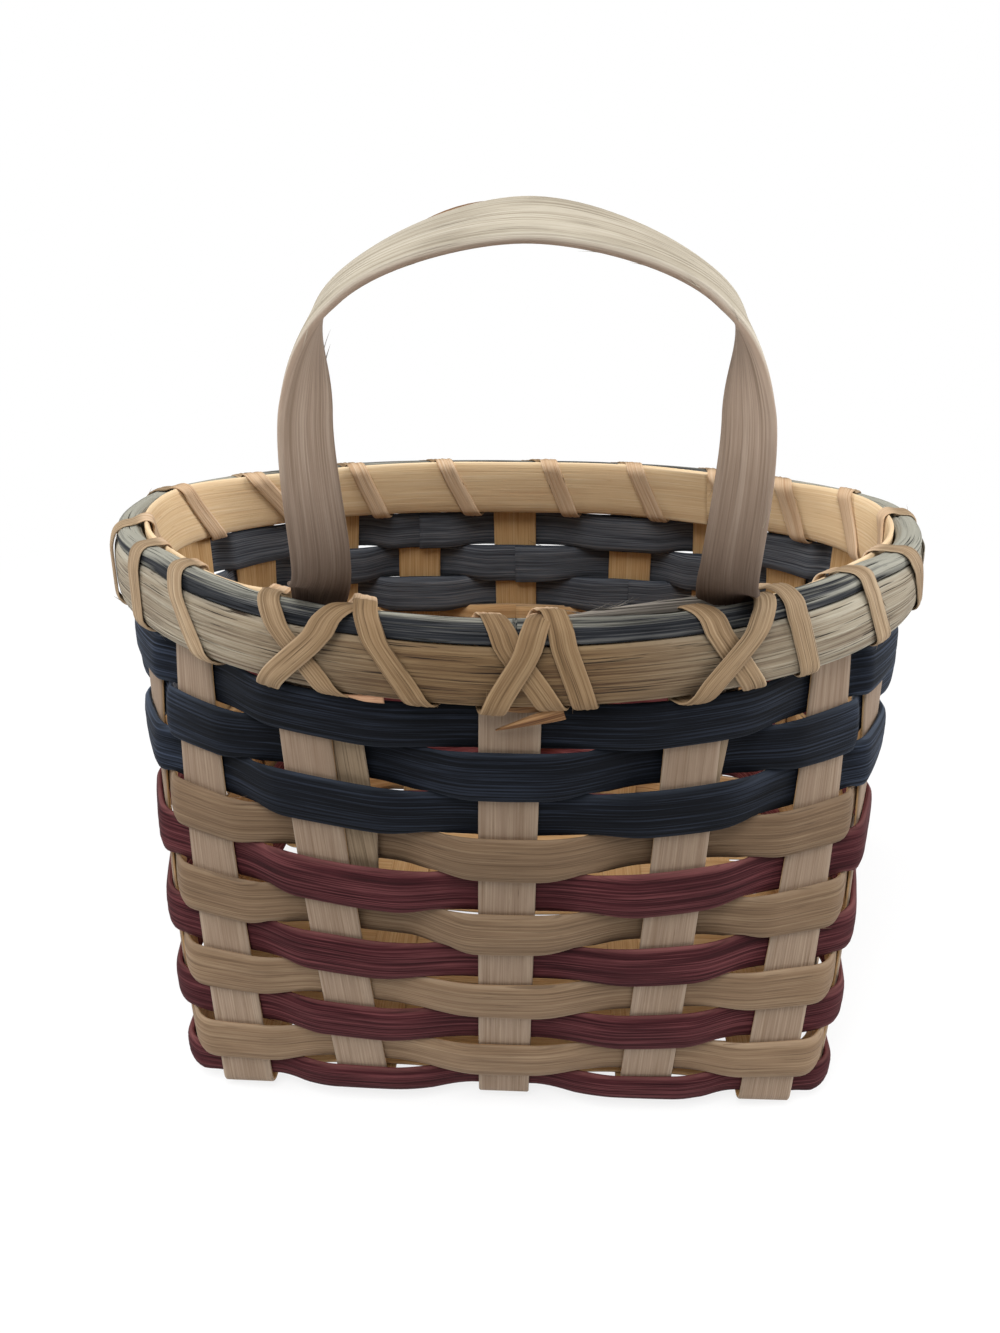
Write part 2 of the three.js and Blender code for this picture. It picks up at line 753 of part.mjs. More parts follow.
// The least gap between two passes of a strip, measured on points of its surface
function leastSelfGap(sections) {
  const cells = new Map();
  const cellOf = (point) => point.toArray().map((value) => Math.floor(value / gapSearch));
  const points = [];
  let run = 0;
  sections.slice(1).forEach((section, i) => {
    const before = sections[i];
    const length = before[0].distanceTo(section[0]);
    const steps = Math.ceil(length / gapSample);
    for (let step = 0; step < steps; step += 1) {
      const ring = section.map((corner, c) => before[c].clone().lerp(corner, step / steps));
      ring.forEach((corner, c) => {
        const next = ring[(c + 1) % ring.length];
        const parts = Math.ceil(corner.distanceTo(next) / gapSample);
        for (let part = 0; part < parts; part += 1) {
          points.push({ at: corner.clone().lerp(next, part / parts), run: run + length * step / steps });
        }
      });
    }
    run += length;
  });
  points.forEach((entry) => {
    const key = cellOf(entry.at).join();
    if (!cells.has(key)) cells.set(key, []);
    cells.get(key).push(entry);
  });
  let least = gapSearch;
  points.forEach(({ at, run: here }) => {
    const [x, y, z] = cellOf(at);
    for (let near = 0; near < 27; near += 1) {
      const key = [x - 1 + near % 3, y - 1 + Math.floor(near / 3) % 3, z - 1 + Math.floor(near / 9)].join();
      (cells.get(key) || []).forEach((other) => {
        if (other.run - here > passLength) least = Math.min(least, at.distanceTo(other.at));
      });
    }
  });
  return least;
}

// Handle: its tails lie flat on two near stakes. The arch twists so that its
// outer face, which looks into the basket at the tails, looks up at the top.
function handleTail(stake, direction) {
  return Array.from({ length: tailSteps + 1 }, (_, step) => {
    const height = THREE.MathUtils.lerp(tailEndHeight, tailTopHeight, step / tailSteps);
    const across = stakeFrame(stake, height).along.clone().multiplyScalar(direction);
    return { point: placeOnStake(stake, height, -tailBeside(stake, height), legOffset), across };
  });
}

function handleArch(side) {
  return archHeights.map((height, index) => ({
    point: new THREE.Vector3(handleCentreX + side * archHalfSpans[index], archDepths[index], height),
    twist: archTwists[index],
  }));
}

function handleGeometry() {
  const top = { point: new THREE.Vector3(handleCentreX, archTop.depth, archTop.height), twist: archTop.twist };
  const guide = [
    ...handleTail(leftLegStake, -1),
    ...handleArch(-1),
    top,
    ...handleArch(1).reverse(),
    ...handleTail(rightLegStake, 1).reverse(),
  ];
  const path = new THREE.CatmullRomCurve3(guide.map(({ point }) => point));
  const spans = guide.length - 1;
  const acrossPath = new THREE.CatmullRomCurve3(guide.map((place, index) => {
    if (place.across) return place.across;
    const way = path.getTangent(index / spans);
    const inPlane = new THREE.Vector3(0, 1, 0).cross(way).normalize();
    const back = way.clone().cross(inPlane);
    const angle = THREE.MathUtils.degToRad(place.twist);
    return inPlane.multiplyScalar(Math.cos(angle)).addScaledVector(back, Math.sin(angle));
  }));
  const shares = [];
  for (let span = 0; span < spans; span += 1) {
    const steps = guide[span].across && guide[span + 1].across ? 1 : archSteps;
    for (let step = 0; step < steps; step += 1) shares.push((span + step / steps) / spans);
  }
  shares.push(1);
  return loft(shares.map((share) => {
    const point = path.getPoint(share);
    const way = path.getTangent(share);
    const side = acrossPath.getPoint(share);
    side.addScaledVector(way, -side.dot(way)).normalize();
    const face = way.clone().cross(side);
    const full = THREE.MathUtils.smoothstep(point.z, tailTopHeight, fullThicknessHeight);
    const thickness = THREE.MathUtils.lerp(tailThickness, handleThickness, full);
    const whole = THREE.MathUtils.clamp((point.z - tailEndHeight) / tailTipLength, 0, 1);
    const half = THREE.MathUtils.lerp(tailTipWidth, handleWidth, whole) / 2;
    const crown = half - handleBevel;
    return [[-half, -0.5], [half, -0.5], [half, 0], [crown, 0.5], [-crown, 0.5], [-half, 0]]
      .map(([across, out]) => point.clone()
        .addScaledVector(side, across)
        .addScaledVector(face, out * thickness));
  }), false);
}

// Assembly
const basket = new THREE.Group();

function addPiece(name, geometry, reed) {
  const material = new THREE.MeshStandardMaterial({ ...reed, metalness: 0 });
  const mesh = new THREE.Mesh(geometry, material);
  mesh.name = name;
  basket.add(mesh);
}

function weaverReed(row) {
  if (navyRows.includes(row)) return navyReed;
  return burgundyRows.includes(row) ? burgundyReed : naturalReed;
}

for (let index = 0; index < crossCount; index += 1) {
  addPiece(`cross_stake_${index + 1}`, crossStakeGeometry(index), stakeReed);
}
for (let index = 0; index < longCount; index += 1) {
  addPiece(`long_stake_${index + 1}`, longStakeGeometry(index), stakeReed);
}
for (let index = 0; index < longCount - 1; index += 1) {
  addPiece(`base_filler_${index + 1}`, baseFillerGeometry(index), stakeReed);
}
for (let row = 1; row <= weaverRows; row += 1) {
  addPiece(`weaver_row_${String(row).padStart(2, '0')}`, weaverGeometry(row), weaverReed(row));
}
addPiece('rim_weaver', weaverGeometry(0), naturalReed);
addPiece('outer_rim_band', outerBandGeometry(), bandReed);
addPiece('inner_rim_band', innerBandGeometry(), bandReed);
addPiece('rim_filler', rimFillerGeometry(), smokedReed);
const lashingSections = lashingPoints();
addPiece('rim_lashing', loft(lashingSections, false), naturalReed);
addPiece('handle', handleGeometry(), handleReed);

console.log(`rim_lashing: least gap to itself ${leastSelfGap(lashingSections).toFixed(2)} mm`);

// The origin is under the middle of the whole basket, on the floor
const box = new THREE.Box3().setFromObject(basket);
const centre = box.getCenter(new THREE.Vector3());
basket.position.set(-centre.x, -centre.y, -box.min.z);

export default basket;
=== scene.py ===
import math

import bpy
import numpy as np
from mathutils import Matrix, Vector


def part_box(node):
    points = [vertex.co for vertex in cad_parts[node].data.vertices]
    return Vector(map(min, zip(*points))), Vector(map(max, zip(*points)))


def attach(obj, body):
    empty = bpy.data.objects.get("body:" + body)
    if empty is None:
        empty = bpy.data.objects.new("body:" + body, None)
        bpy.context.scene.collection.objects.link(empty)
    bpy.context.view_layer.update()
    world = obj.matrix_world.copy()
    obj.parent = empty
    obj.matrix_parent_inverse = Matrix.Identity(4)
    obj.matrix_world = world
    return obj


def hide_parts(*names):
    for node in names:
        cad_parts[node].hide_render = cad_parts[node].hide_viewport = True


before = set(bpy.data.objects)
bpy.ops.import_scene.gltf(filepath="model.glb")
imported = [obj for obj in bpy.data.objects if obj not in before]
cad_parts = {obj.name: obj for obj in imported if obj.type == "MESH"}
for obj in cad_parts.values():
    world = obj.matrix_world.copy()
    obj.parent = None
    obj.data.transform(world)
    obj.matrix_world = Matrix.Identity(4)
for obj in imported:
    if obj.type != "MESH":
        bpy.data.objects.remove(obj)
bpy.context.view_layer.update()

MM = 0.001

# The sizes of the CAD source, in millimetres
GAP = 0.3
BASE_LENGTH, BASE_WIDTH, BASE_CORNER = 204, 154, 12
BEND_RADIUS = 5
RIM_LENGTH, RIM_NEAR, RIM_FAR = 239, 83.5, 64
NEAR_FULLNESS, FAR_FULLNESS = 1.94, 2.36
RIM_HEIGHT, WALL_BOW = 150.7, 3
STAKE_WIDTH, STAKE_THICKNESS = 16, 1.2
CROSS_BASE_X = [-83, -44.5, 0, 44.5, 83]
CROSS_NEAR_X = [-88, -54, 2, 50, 89]
CROSS_FAR_X = [-68, -38, -2, 42, 72]
LONG_BASE_Y = [-58.5, -19.5, 19.5, 58.5]
LONG_RIM_Y = [-37, -5, 25, 43]
FILLER_STRIP_END = 2.5
ROWS = 11
WEAVER_WIDTH, PRESSED_WIDTH, WEAVER_THICKNESS = 14.2, 13.1, 2.2
LOWEST_ROW_WIDTH, LOWEST_ROW_TOP, ROW_PITCH = 10.8, 14.75, 13.49
HOLD_ROOM = 0.8
OUTER_HEIGHT, OUTER_THICKNESS = 16, 2.5
INNER_HEIGHT, INNER_THICKNESS, INNER_STEP = 20.4, 2, 0.5
BAND_BEVEL, BAND_ROOM = 1.6, 0.45
RIM_FILLER_HEIGHT, RIM_FILLER_OVERLAP = 3.6, 1.2
RIM_FILLER_SHOULDER = 0.55 * RIM_FILLER_HEIGHT
LASH_WIDTH, LASH_THICKNESS, LASH_ROOM, LASH_LIFT = 6, 1, 0.75, 1.9
HANDLE_WIDTH, HANDLE_THICKNESS = 15.5, 3
TAIL_THICKNESS, TAIL_TIP_WIDTH, TAIL_TIP_LENGTH = 1.8, 7, 26
TAIL_END, TAIL_TOP, FULL_THICKNESS = 83.4, 173.4, 191.4
TAIL_SETBACK, LEFT_DRIFT, RIGHT_DRIFT = 7, 0.049, -0.095
HANDLE_X = 5
# Each guide point of the arch: its height, half span, depth and twist
ARCH = [(185.7, 49, -80.3, 36.4), (222.9, 50.1, -78, 52), (246.7, 43.7, -72.2, 101.4)]
ARCH_TOP = (262.6, -70.5, 118.6)

BASE_CROSSING = (STAKE_THICKNESS + GAP) / 2
BASE_HEIGHT = BASE_CROSSING + STAKE_THICKNESS / 2
BEND_TOP = BASE_HEIGHT + BEND_RADIUS
BEND_START = BEND_TOP - BEND_RADIUS * math.pi / 2
WEAVE_OFFSET = (STAKE_THICKNESS + WEAVER_THICKNESS) / 2 + GAP
TOP_ROW = LOWEST_ROW_TOP - PRESSED_WIDTH / 2 + (ROWS - 1) * ROW_PITCH
SLOT = TOP_ROW + PRESSED_WIDTH / 2 + LASH_ROOM + LASH_THICKNESS / 2
OUTER_BOTTOM = SLOT + LASH_THICKNESS / 2 + LASH_ROOM
OUTER_TOP = OUTER_BOTTOM + OUTER_HEIGHT
INNER_BOTTOM = OUTER_BOTTOM + INNER_STEP
INNER_TOP = INNER_BOTTOM + INNER_HEIGHT
RIM_MIDDLE = OUTER_BOTTOM + OUTER_HEIGHT / 2
FILLER_BOTTOM = OUTER_TOP + GAP
FILLER_TOP = FILLER_BOTTOM + RIM_FILLER_HEIGHT
BAND_OFFSET = WEAVE_OFFSET + WEAVER_THICKNESS / 2 + BAND_ROOM
LEG_OFFSET = -(STAKE_THICKNESS / 2 + GAP + TAIL_THICKNESS / 2)
LEG_ROOM = TAIL_THICKNESS + GAP
STAKES, MIDDLE, LONGS = 18, 2, 4
FAR_START, RIGHT_START, NEAR_FIRST = 7, 12, 16
LEGS = (1, 17)

# The middle base strip lies on the CAD's own middle before it was centred
low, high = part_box("base_filler_2")
SHIFT = np.array([(low.x + high.x) / 2, (low.y + high.y) / 2, 0]) / MM


def smooth(t):
    t = np.clip(t, 0, 1)
    return t * t * (3 - 2 * t)


def unit(v):
    return v / np.maximum(np.linalg.norm(v, axis=-1, keepdims=True), 1e-12)


def lerp(a, b, t):
    return a + (b - a) * t


def run_along(points):
    """The length from the first point to each point."""
    return np.r_[0, np.cumsum(np.linalg.norm(np.diff(points, axis=0), axis=1))]


def arrays(*values):
    return np.broadcast_arrays(*(np.asarray(value, float) for value in values))


def wander(s, seed, reach, step):
    """A smooth seeded wave along a length, about -reach to reach."""
    steps, usual_sum = (0.61, 1, 1.37, 2.3, 4.1), 3.2
    phase = np.random.default_rng(seed).uniform(0, 2 * math.pi, len(steps))
    total = sum(np.sin(2 * math.pi * s / (step * k) + p) / k ** 0.3 for k, p in zip(steps, phase))
    return reach * total / usual_sum


def ridges(across, s, seed, reach, step, counts):
    """Ridges along a strip that wander sideways as they go."""
    return sum(np.sin(k * across + wander(s, seed + k, reach, step)[:, None]) for k in counts)


# Plan outlines and their stations
CORNER_STEPS, RIM_STEPS = 49, 1440


def base_outline():
    x, y = BASE_LENGTH / 2 - BASE_CORNER, BASE_WIDTH / 2 - BASE_CORNER
    points = [(0, -BASE_WIDTH / 2)]
    for cx, cy, start in ((-x, -y, -90), (-x, y, -180), (x, y, -270), (x, -y, -360)):
        for angle in np.radians(np.linspace(start, start - 90, CORNER_STEPS)):
            points.append((cx + BASE_CORNER * math.cos(angle), cy + BASE_CORNER * math.sin(angle)))
    return np.array(points)


def rim_outline():
    angle = 2 * math.pi * np.arange(RIM_STEPS) / RIM_STEPS
    near = np.cos(angle) > 0
    power = 2 / np.where(near, NEAR_FULLNESS, FAR_FULLNESS)
    x = -np.sign(np.sin(angle)) * np.abs(np.sin(angle)) ** power * RIM_LENGTH / 2
    y = np.abs(np.cos(angle)) ** power * np.where(near, -RIM_NEAR, RIM_FAR)
    return np.stack([x, y], -1)


class Ring:
    """A closed outline, and how far along it each stake stands."""

    def __init__(self, points, marks):
        self.closed = np.vstack([points, points[:1]])
        self.lengths = run_along(self.closed)
        self.length = self.lengths[-1]
        self.marks = np.array([self.distance_of(*mark) for mark in marks])
        if self.marks[0] > self.length / 2:
            self.marks[0] -= self.length

    def distance_of(self, axis, value, side, sign):
        before = self.closed[:-1, axis] - value
        after = self.closed[1:, axis] - value
        hits = ((before <= 0) != (after <= 0)) & (self.closed[:-1, side] * sign > 0)
        i = int(np.nonzero(hits)[0][0])
        return lerp(self.lengths[i], self.lengths[i + 1], before[i] / (before[i] - after[i]))

    def mark(self, index):
        return self.marks[index % STAKES] + (index // STAKES) * self.length

    def slope(self, index):
        before = self.mark(index) - self.mark(index - 1)
        after = self.mark(index + 1) - self.mark(index)
        return 2 * before * after / (before + after)

    def at(self, station):
        index = np.floor(station).astype(int)
        share = station - index
        rest = 1 - share
        distance = (self.mark(index) * rest * rest * (1 + 2 * share)
                    + self.mark(index + 1) * share * share * (1 + 2 * rest)
                    + self.slope(index) * share * rest * rest
                    - self.slope(index + 1) * share * share * rest)
        along = np.mod(distance, self.length)
        return np.stack([np.interp(along, self.lengths, self.closed[:, axis]) for axis in (0, 1)], -1)


def stake_marks(near_x, far_x, side_y):
    """Each stake as an axis, its value there, the other axis and the side that it is on."""
    near = [(0, x, 1, -1) for x in near_x][::-1]
    far = [(0, x, 1, 1) for x in far_x]
    left = [(1, y, 0, -1) for y in side_y]
    right = [(1, y, 0, 1) for y in side_y][::-1]
    return near[MIDDLE:] + left + far + right + near[:MIDDLE]


BASE_RING = Ring(base_outline(), stake_marks(CROSS_BASE_X, CROSS_BASE_X, LONG_BASE_Y))
RIM_RING = Ring(rim_outline(), stake_marks(CROSS_NEAR_X, CROSS_FAR_X, LONG_RIM_Y))


# The wall surface
# Small steps that give directions, two in stations and one in height
PLAN_STEP, STATION_STEP, HEIGHT_STEP = 0.02, 0.03, 0.1


def plan(station, rise):
    return lerp(BASE_RING.at(station), RIM_RING.at(station), rise[..., None])


def wall(station, height):
    """Where the wall's middle is at a station and a height."""
    station, height = arrays(station, height)
    angle = np.clip((height - BEND_START) / BEND_RADIUS, 0, math.pi / 2)
    z = np.where(height < BEND_TOP, BEND_TOP - BEND_RADIUS * np.cos(angle), height)
    rise = (z - BASE_HEIGHT) / (RIM_HEIGHT - BASE_HEIGHT)
    place = plan(station, rise)
    along = unit(plan(station + PLAN_STEP, rise) - plan(station - PLAN_STEP, rise))
    outward = 4 * WALL_BOW * rise * (1 - rise) - BEND_RADIUS * (1 - np.sin(angle))
    return np.stack([place[..., 0] - along[..., 1] * outward,
                     place[..., 1] + along[..., 0] * outward, z], -1)


def up_wall(station, height):
    return wall(station, height + HEIGHT_STEP) - wall(station, height - HEIGHT_STEP)


def out_of_wall(station, height):
    along = unit(wall(station + STATION_STEP, height) - wall(station - STATION_STEP, height))
    return unit(np.cross(up_wall(station, height), along))


def on_wall(station, height, offset):
    """A place that lies an offset out from the wall's middle."""
    station, height, offset = arrays(station, height, offset)
    return wall(station, height) + out_of_wall(station, height) * offset[..., None]


def station_beside(stake, height, beside):
    """The station that lies a distance beside a stake's middle."""
    height, beside = arrays(height, beside)
    origin = wall(stake, height)
    first_guess, guesses = 0.1, 7
    step = np.where(beside < 0, -first_guess, first_guess)
    for _ in range(guesses):
        reach = np.linalg.norm(wall(stake + step, height) - origin, axis=-1)
        step = step * np.abs(beside) / np.maximum(reach, 1e-9)
    return stake + step


class Lap:
    """Length along the wall at one height, as a function of the station."""
    STEPS = 60

    def __init__(self, height):
        self.stations = np.linspace(-1, STAKES + 3, (STAKES + 4) * self.STEPS + 1)
        self.lengths = run_along(wall(self.stations, height))
        self.lengths -= np.interp(0, self.stations, self.lengths)
        self.turn = self.length(STAKES)

    def length(self, station):
        return np.interp(station, self.stations, self.lengths)

    def station(self, length):
        laps = np.floor(length / self.turn)
        return np.interp(length - laps * self.turn, self.lengths, self.stations) + laps * STAKES


def tail_beside(stake, height):
    """How far the middle of a handle's tail lies beside its stake."""
    drift = LEFT_DRIFT if stake == LEGS[0] else RIGHT_DRIFT
    return TAIL_SETBACK + drift * (TAIL_TOP - height)


def held(lap, s, offset_of, before_of, after):
    """An offset that is held over each stake and eases from one to the next."""
    result = np.zeros_like(s)
    for stake in range(-1, STAKES + 3):
        here, there = stake % STAKES, (stake + 1) % STAKES
        start = lap.length(stake) + after
        end = lap.length(stake + 1) - before_of(there)
        inside = (s >= lap.length(stake)) & (s < lap.length(stake + 1))
        eased = lerp(offset_of(here), offset_of(there), smooth((s - start) / (end - start)))
        result = np.where(inside, eased, result)
    return result


# Meshes
# Each mesh's sections, and how far the fibres' pattern moves on with the way out of a strip
SECTIONS = {}
PATTERN_TURN = 0.7


def skin(index, closed=False):
    """The faces over a grid of point numbers, a row for each section."""
    spans = index if closed else index[:-1]
    after = np.roll(index, -1, axis=0) if closed else index[1:]
    quads = np.stack([spans, np.roll(spans, -1, axis=1), np.roll(after, -1, axis=1), after], -1)
    faces = quads.reshape(-1, 4).tolist()
    return faces if closed else faces + [index[0][::-1].tolist(), index[-1].tolist()]


def new_mesh(name, points, faces, fibre, wear, inner):
    """A mesh in millimetres. fibre is (along, across, seed). wear is from 0 to 1, and so is
    inner, 1 on the face that looks into the basket, where the materials paint light and shade."""
    mesh = bpy.data.meshes.new(name)
    mesh.from_pydata((points.reshape(-1, 3) * MM).tolist(), [], faces)
    mesh.update()
    fields = (("fibre", "FLOAT_VECTOR", "vector", fibre), ("wear", "FLOAT", "value", wear),
              ("inner", "FLOAT", "value", inner))
    for attribute, kind, field, values in fields:
        shape = fibre.shape if kind == "FLOAT_VECTOR" else fibre.shape[:-1]
        mesh.attributes.new(attribute, kind, "POINT").data.foreach_set(
            field, np.full(shape, values, np.float32).reshape(-1))
    return mesh


def make_mesh(name, sections, s, across, out, seed, wear=None, inner=0, closed=False):
    """A skin through sections of the same number of points, in millimetres, capped at its
    ends unless it is closed. s is each section's length along the strip, and across and
    out are where its points are in it. It is worn at its edges unless wear is given."""
    if wear is None:
        wear = (np.abs(across) / np.abs(across).max(axis=-1, keepdims=True)) ** 5
    sections = sections + SHIFT
    SECTIONS[name] = sections
    count, ring = sections.shape[:2]
    faces = skin(np.arange(count * ring).reshape(count, ring), closed)
    fibre = np.broadcast_arrays(s[:, None] * MM, (across + PATTERN_TURN * out) * MM, float(seed))
    mesh = new_mesh(name, sections, faces, np.stack(fibre, -1), wear, inner)
    mesh.polygons.foreach_set("use_smooth", np.ones(len(mesh.polygons), bool))
    return mesh


def swept(centre, side, face, across, out):
    """Sections about their centres, by a way to the side and one out of the face."""
    return centre[:, None] + side[..., None, :] * across[..., None] + face[..., None, :] * out[..., None]


def blur(points, rounds):
    for _ in range(rounds):
        points[1:-1] = 0.25 * points[:-2] + 0.5 * points[1:-1] + 0.25 * points[2:]


def volume_of(mesh):
    """Six times the volume, less than 0 where the faces look inward."""
    mesh.calc_loop_triangles()
    corners = np.array([[mesh.vertices[i].co for i in face.vertices] for face in mesh.loop_triangles])
    return np.sum(corners[:, 0] * np.cross(corners[:, 1], corners[:, 2]))


def new_object(name, data):
    made = bpy.data.objects.new(name, data)
    bpy.context.scene.collection.objects.link(made)
    return made


def add_piece(name, mesh, look, *nodes):
    """A piece on the one body, by its material and the CAD nodes that it replaces; the slot in look is not
    used.
    """
    material, slot = look
    if volume_of(mesh) < 0:
        mesh.flip_normals()
    mesh.materials.append(material)
    piece = new_object(name, mesh)
    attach(piece, "root")
    if nodes:
        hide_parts(*nodes)


def oval_profile(width, thickness, crown=3, steps=12):
    """Flat-oval reed, flat inside and crowned outside, as its points' ways across and out."""
    low, lip, flat, flat_points = -thickness / 2, 0.28 * thickness, 0.94, 6
    top = np.sin(np.linspace(-math.pi / 2, math.pi / 2, steps + 1))
    across = np.r_[top, np.linspace(flat, -flat, flat_points)] * width / 2
    rise = (1 - np.abs(top) ** crown) ** 0.5
    return across, np.r_[low + lip + (thickness - lip) * rise, np.full(flat_points, low)]


def stake_profile():
    """Flat reed with slightly rounded edges, as its points' ways across and out."""
    edge, side, rounding, steps = STAKE_WIDTH / 2, 0.2 * STAKE_THICKNESS, 0.35 * STAKE_THICKNESS, 6
    face = np.linspace(-1, 1, steps + 1) * (edge - rounding)
    half = np.r_[side, np.full(steps + 1, STAKE_THICKNESS / 2), side]
    return np.r_[-edge, face, edge, edge, face[::-1], -edge], np.r_[half, -half]


# Materials
def linear(hex_digits):
    channels = [int(hex_digits[i:i + 2], 16) / 255 for i in (0, 2, 4)]
    return [c / 12.92 if c <= 0.04045 else ((c + 0.055) / 1.055) ** 2.4 for c in channels] + [1]


class Nodes:
    """A shader's tree and short ways to fill it. An input is a number, a colour or a socket."""

    def __init__(self, tree):
        self.tree = tree
        tree.nodes.clear()

    def add(self, kind, inputs=None, **values):
        node = self.tree.nodes.new("ShaderNode" + kind)
        for key, value in values.items():
            setattr(node, key, value)
        for key, value in (inputs or {}).items():
            if isinstance(value, bpy.types.NodeSocket):
                self.tree.links.new(value, node.inputs[key])
            else:
                node.inputs[key].default_value = value
        return node

    def noise(self, vector, kind, coarse=1):
        (along, across, seed), detail, rough = kind
        scales = along, across * coarse, seed
        place = self.add("VectorMath", {0: vector, 1: scales}, operation="MULTIPLY").outputs[0]
        inputs = {"Vector": place, "Scale": 1, "Detail": detail, "Roughness": rough}
        return self.add("TexNoise", inputs).outputs["Fac"]

    def math(self, operation, a, b=0, clamp=False):
        return self.add("Math", {0: a, 1: b}, operation=operation, use_clamp=clamp).outputs[0]

    def span(self, value, low, high, to_low=0, to_high=1, kind="LINEAR"):
        return self.add("MapRange", {"Value": value, "From Min": low, "From Max": high, "To Min": to_low,
                                     "To Max": to_high}, interpolation_type=kind).outputs["Result"]

    def ramp(self, value, low, middle, high):
        node = self.add("ValToRGB", {"Fac": value})
        node.color_ramp.elements[0].color = low
        node.color_ramp.elements[1].color = high
        node.color_ramp.elements.new(0.5).color = middle
        return node.outputs["Color"]

    def mix(self, share, a, b, kind="MIX"):
        return self.add("Mix", {"Factor": share, 6: a, 7: b}, data_type="RGBA", blend_type=kind).outputs[2]

    def tint(self, colour, axis, start, end, start_colour, end_colour):
        """A colour tinted by how far from the object's middle it is along an axis: painted light and shade by
        place.
        """
        place = self.add("NewGeometry").outputs["Position"]
        place = self.add("SeparateXYZ", {0: place}).outputs[axis]
        share = self.span(self.math("ABSOLUTE", place), start * MM, end * MM, kind="SMOOTHSTEP")
        return self.mix(1, colour, self.mix(share, linear(start_colour), linear(end_colour)), "MULTIPLY")

    def seen(self):
        """1 for what the camera sees, by itself or in gloss or glass."""
        rays = self.add("LightPath").outputs
        indirect = self.math("MAXIMUM", rays["Is Glossy Ray"], rays["Is Transmission Ray"])
        return self.math("MAXIMUM", rays["Is Camera Ray"], indirect)


def new_material(name):
    material = bpy.data.materials.new(name)
    material.use_nodes = True
    return material, Nodes(material.node_tree)


# Each noise by its scales along the fibres, across them and with their seed, its detail
# and its roughness
FINE = (24, 1800, 41), 3, 0.6
BROAD = (9, 420, 17), 4, 0.6
BLOTCH = (34, 70, 23), 3, 0.6
PORES = (120, 2300, 5), 2, 0.5
SPLIT = (38, 2400, 29), 2, 0.5
# Where each mark starts and is whole
TONE_RANGE, BLOTCH_RANGE, WORN_RANGE = (0.3, 0.7), (0.35, 0.75), (0.35, 1.1)
PORE_RANGE, CRACK_RANGE = (0.66, 0.78), (0.62, 0.68)
# The fine noise's share of the tone, the tone's reach over the colours, a blotch's depth, the
# fine noise's share of the relief, and the relief's depth in metres
FINE_SHARE, TONE_REACH, BLOTCH_DEPTH, FINE_RELIEF, RELIEF = 0.7, 0.16, 0.45, 0.6, 0.0006
# How much rougher the dark streaks are, and how much smoother the light ones
ROUGHER, SMOOTHER = 0.1, 0.06
NO_TINT = "FFFFFF"


def reed_material(name, colours, fleck=0.5, wear_reach=0.55, rough=0.72, bump=0.5, worn_noise=0.35, coarse=1,
                  cracks=0.35, gloss=0.22, contrast=1, inner="", painted_shading=(), inner_painted_shading=(), slot=""):
    """Split reed and its slot: streaks along the strip, blotches, pores, cracks, worn edges.
    The colours are dark, middle, light and worn, and inner has the first three of the face
    that looks into the basket: painted light on most reeds and painted shade on the handle.
    A shading by place is (axis, from, to, colour, colour): painted light and shade that tint
    the reed between two places."""
    dark, middle, light, worn = map(linear, colours.split())
    material, n = new_material(name)
    fibre = n.add("Attribute", attribute_name="fibre").outputs["Vector"]
    wear = n.add("Attribute", attribute_name="wear").outputs["Fac"]
    fine, broad = n.noise(fibre, FINE, coarse), n.noise(fibre, BROAD, coarse)
    tone = n.math("ADD", n.math("MULTIPLY", fine, FINE_SHARE), n.math("MULTIPLY", broad, 1 - FINE_SHARE))
    level = n.span(tone, 0.5 - TONE_REACH / contrast, 0.5 + TONE_REACH / contrast)
    shadow = n.span(n.noise(fibre, BLOTCH), *BLOTCH_RANGE, 0, BLOTCH_DEPTH)
    colour = n.mix(shadow, n.ramp(level, dark, middle, light), dark)
    worn_place = n.math("ADD", wear, n.span(broad, *TONE_RANGE, -worn_noise, worn_noise))
    worn_share = n.math("MULTIPLY", n.span(worn_place, *WORN_RANGE), wear_reach, True)
    colour = n.mix(worn_share, colour, worn)
    pores = n.span(n.noise(fibre, PORES), *PORE_RANGE, 0, fleck)
    crack = n.math("MULTIPLY", n.span(n.noise(fibre, SPLIT, coarse), *CRACK_RANGE), cracks)
    for mark in (pores, crack):
        colour = n.mix(mark, colour, dark, "MULTIPLY")
    # Painted light and shade by place
    if painted_shading:
        colour = n.tint(colour, *painted_shading)
    # The inner face's colours: painted light on most reeds, painted shade on the handle
    if inner:
        face = n.add("Attribute", attribute_name="inner").outputs["Fac"]
        dark, middle, light = map(linear, inner.split())
        inner_colour = n.mix(shadow, n.ramp(level, dark, middle, light), dark)
        if inner_painted_shading:
            inner_colour = n.tint(inner_colour, *inner_painted_shading)
        colour = n.mix(face, colour, inner_colour)
    relief = n.math("SUBTRACT", n.math("ADD", n.math("MULTIPLY", fine, FINE_RELIEF), broad), crack)
    bumps = n.add("Bump", {"Strength": bump, "Distance": RELIEF, "Height": relief})
    shader = n.add("BsdfPrincipled", {
        "Base Color": colour, "Roughness": n.span(tone, *TONE_RANGE, rough + ROUGHER, rough - SMOOTHER),
        "Specular IOR Level": gloss, "Normal": bumps.outputs["Normal"]})
    n.add("OutputMaterial", {"Surface": shader.outputs["BSDF"]})
    return material, slot or name
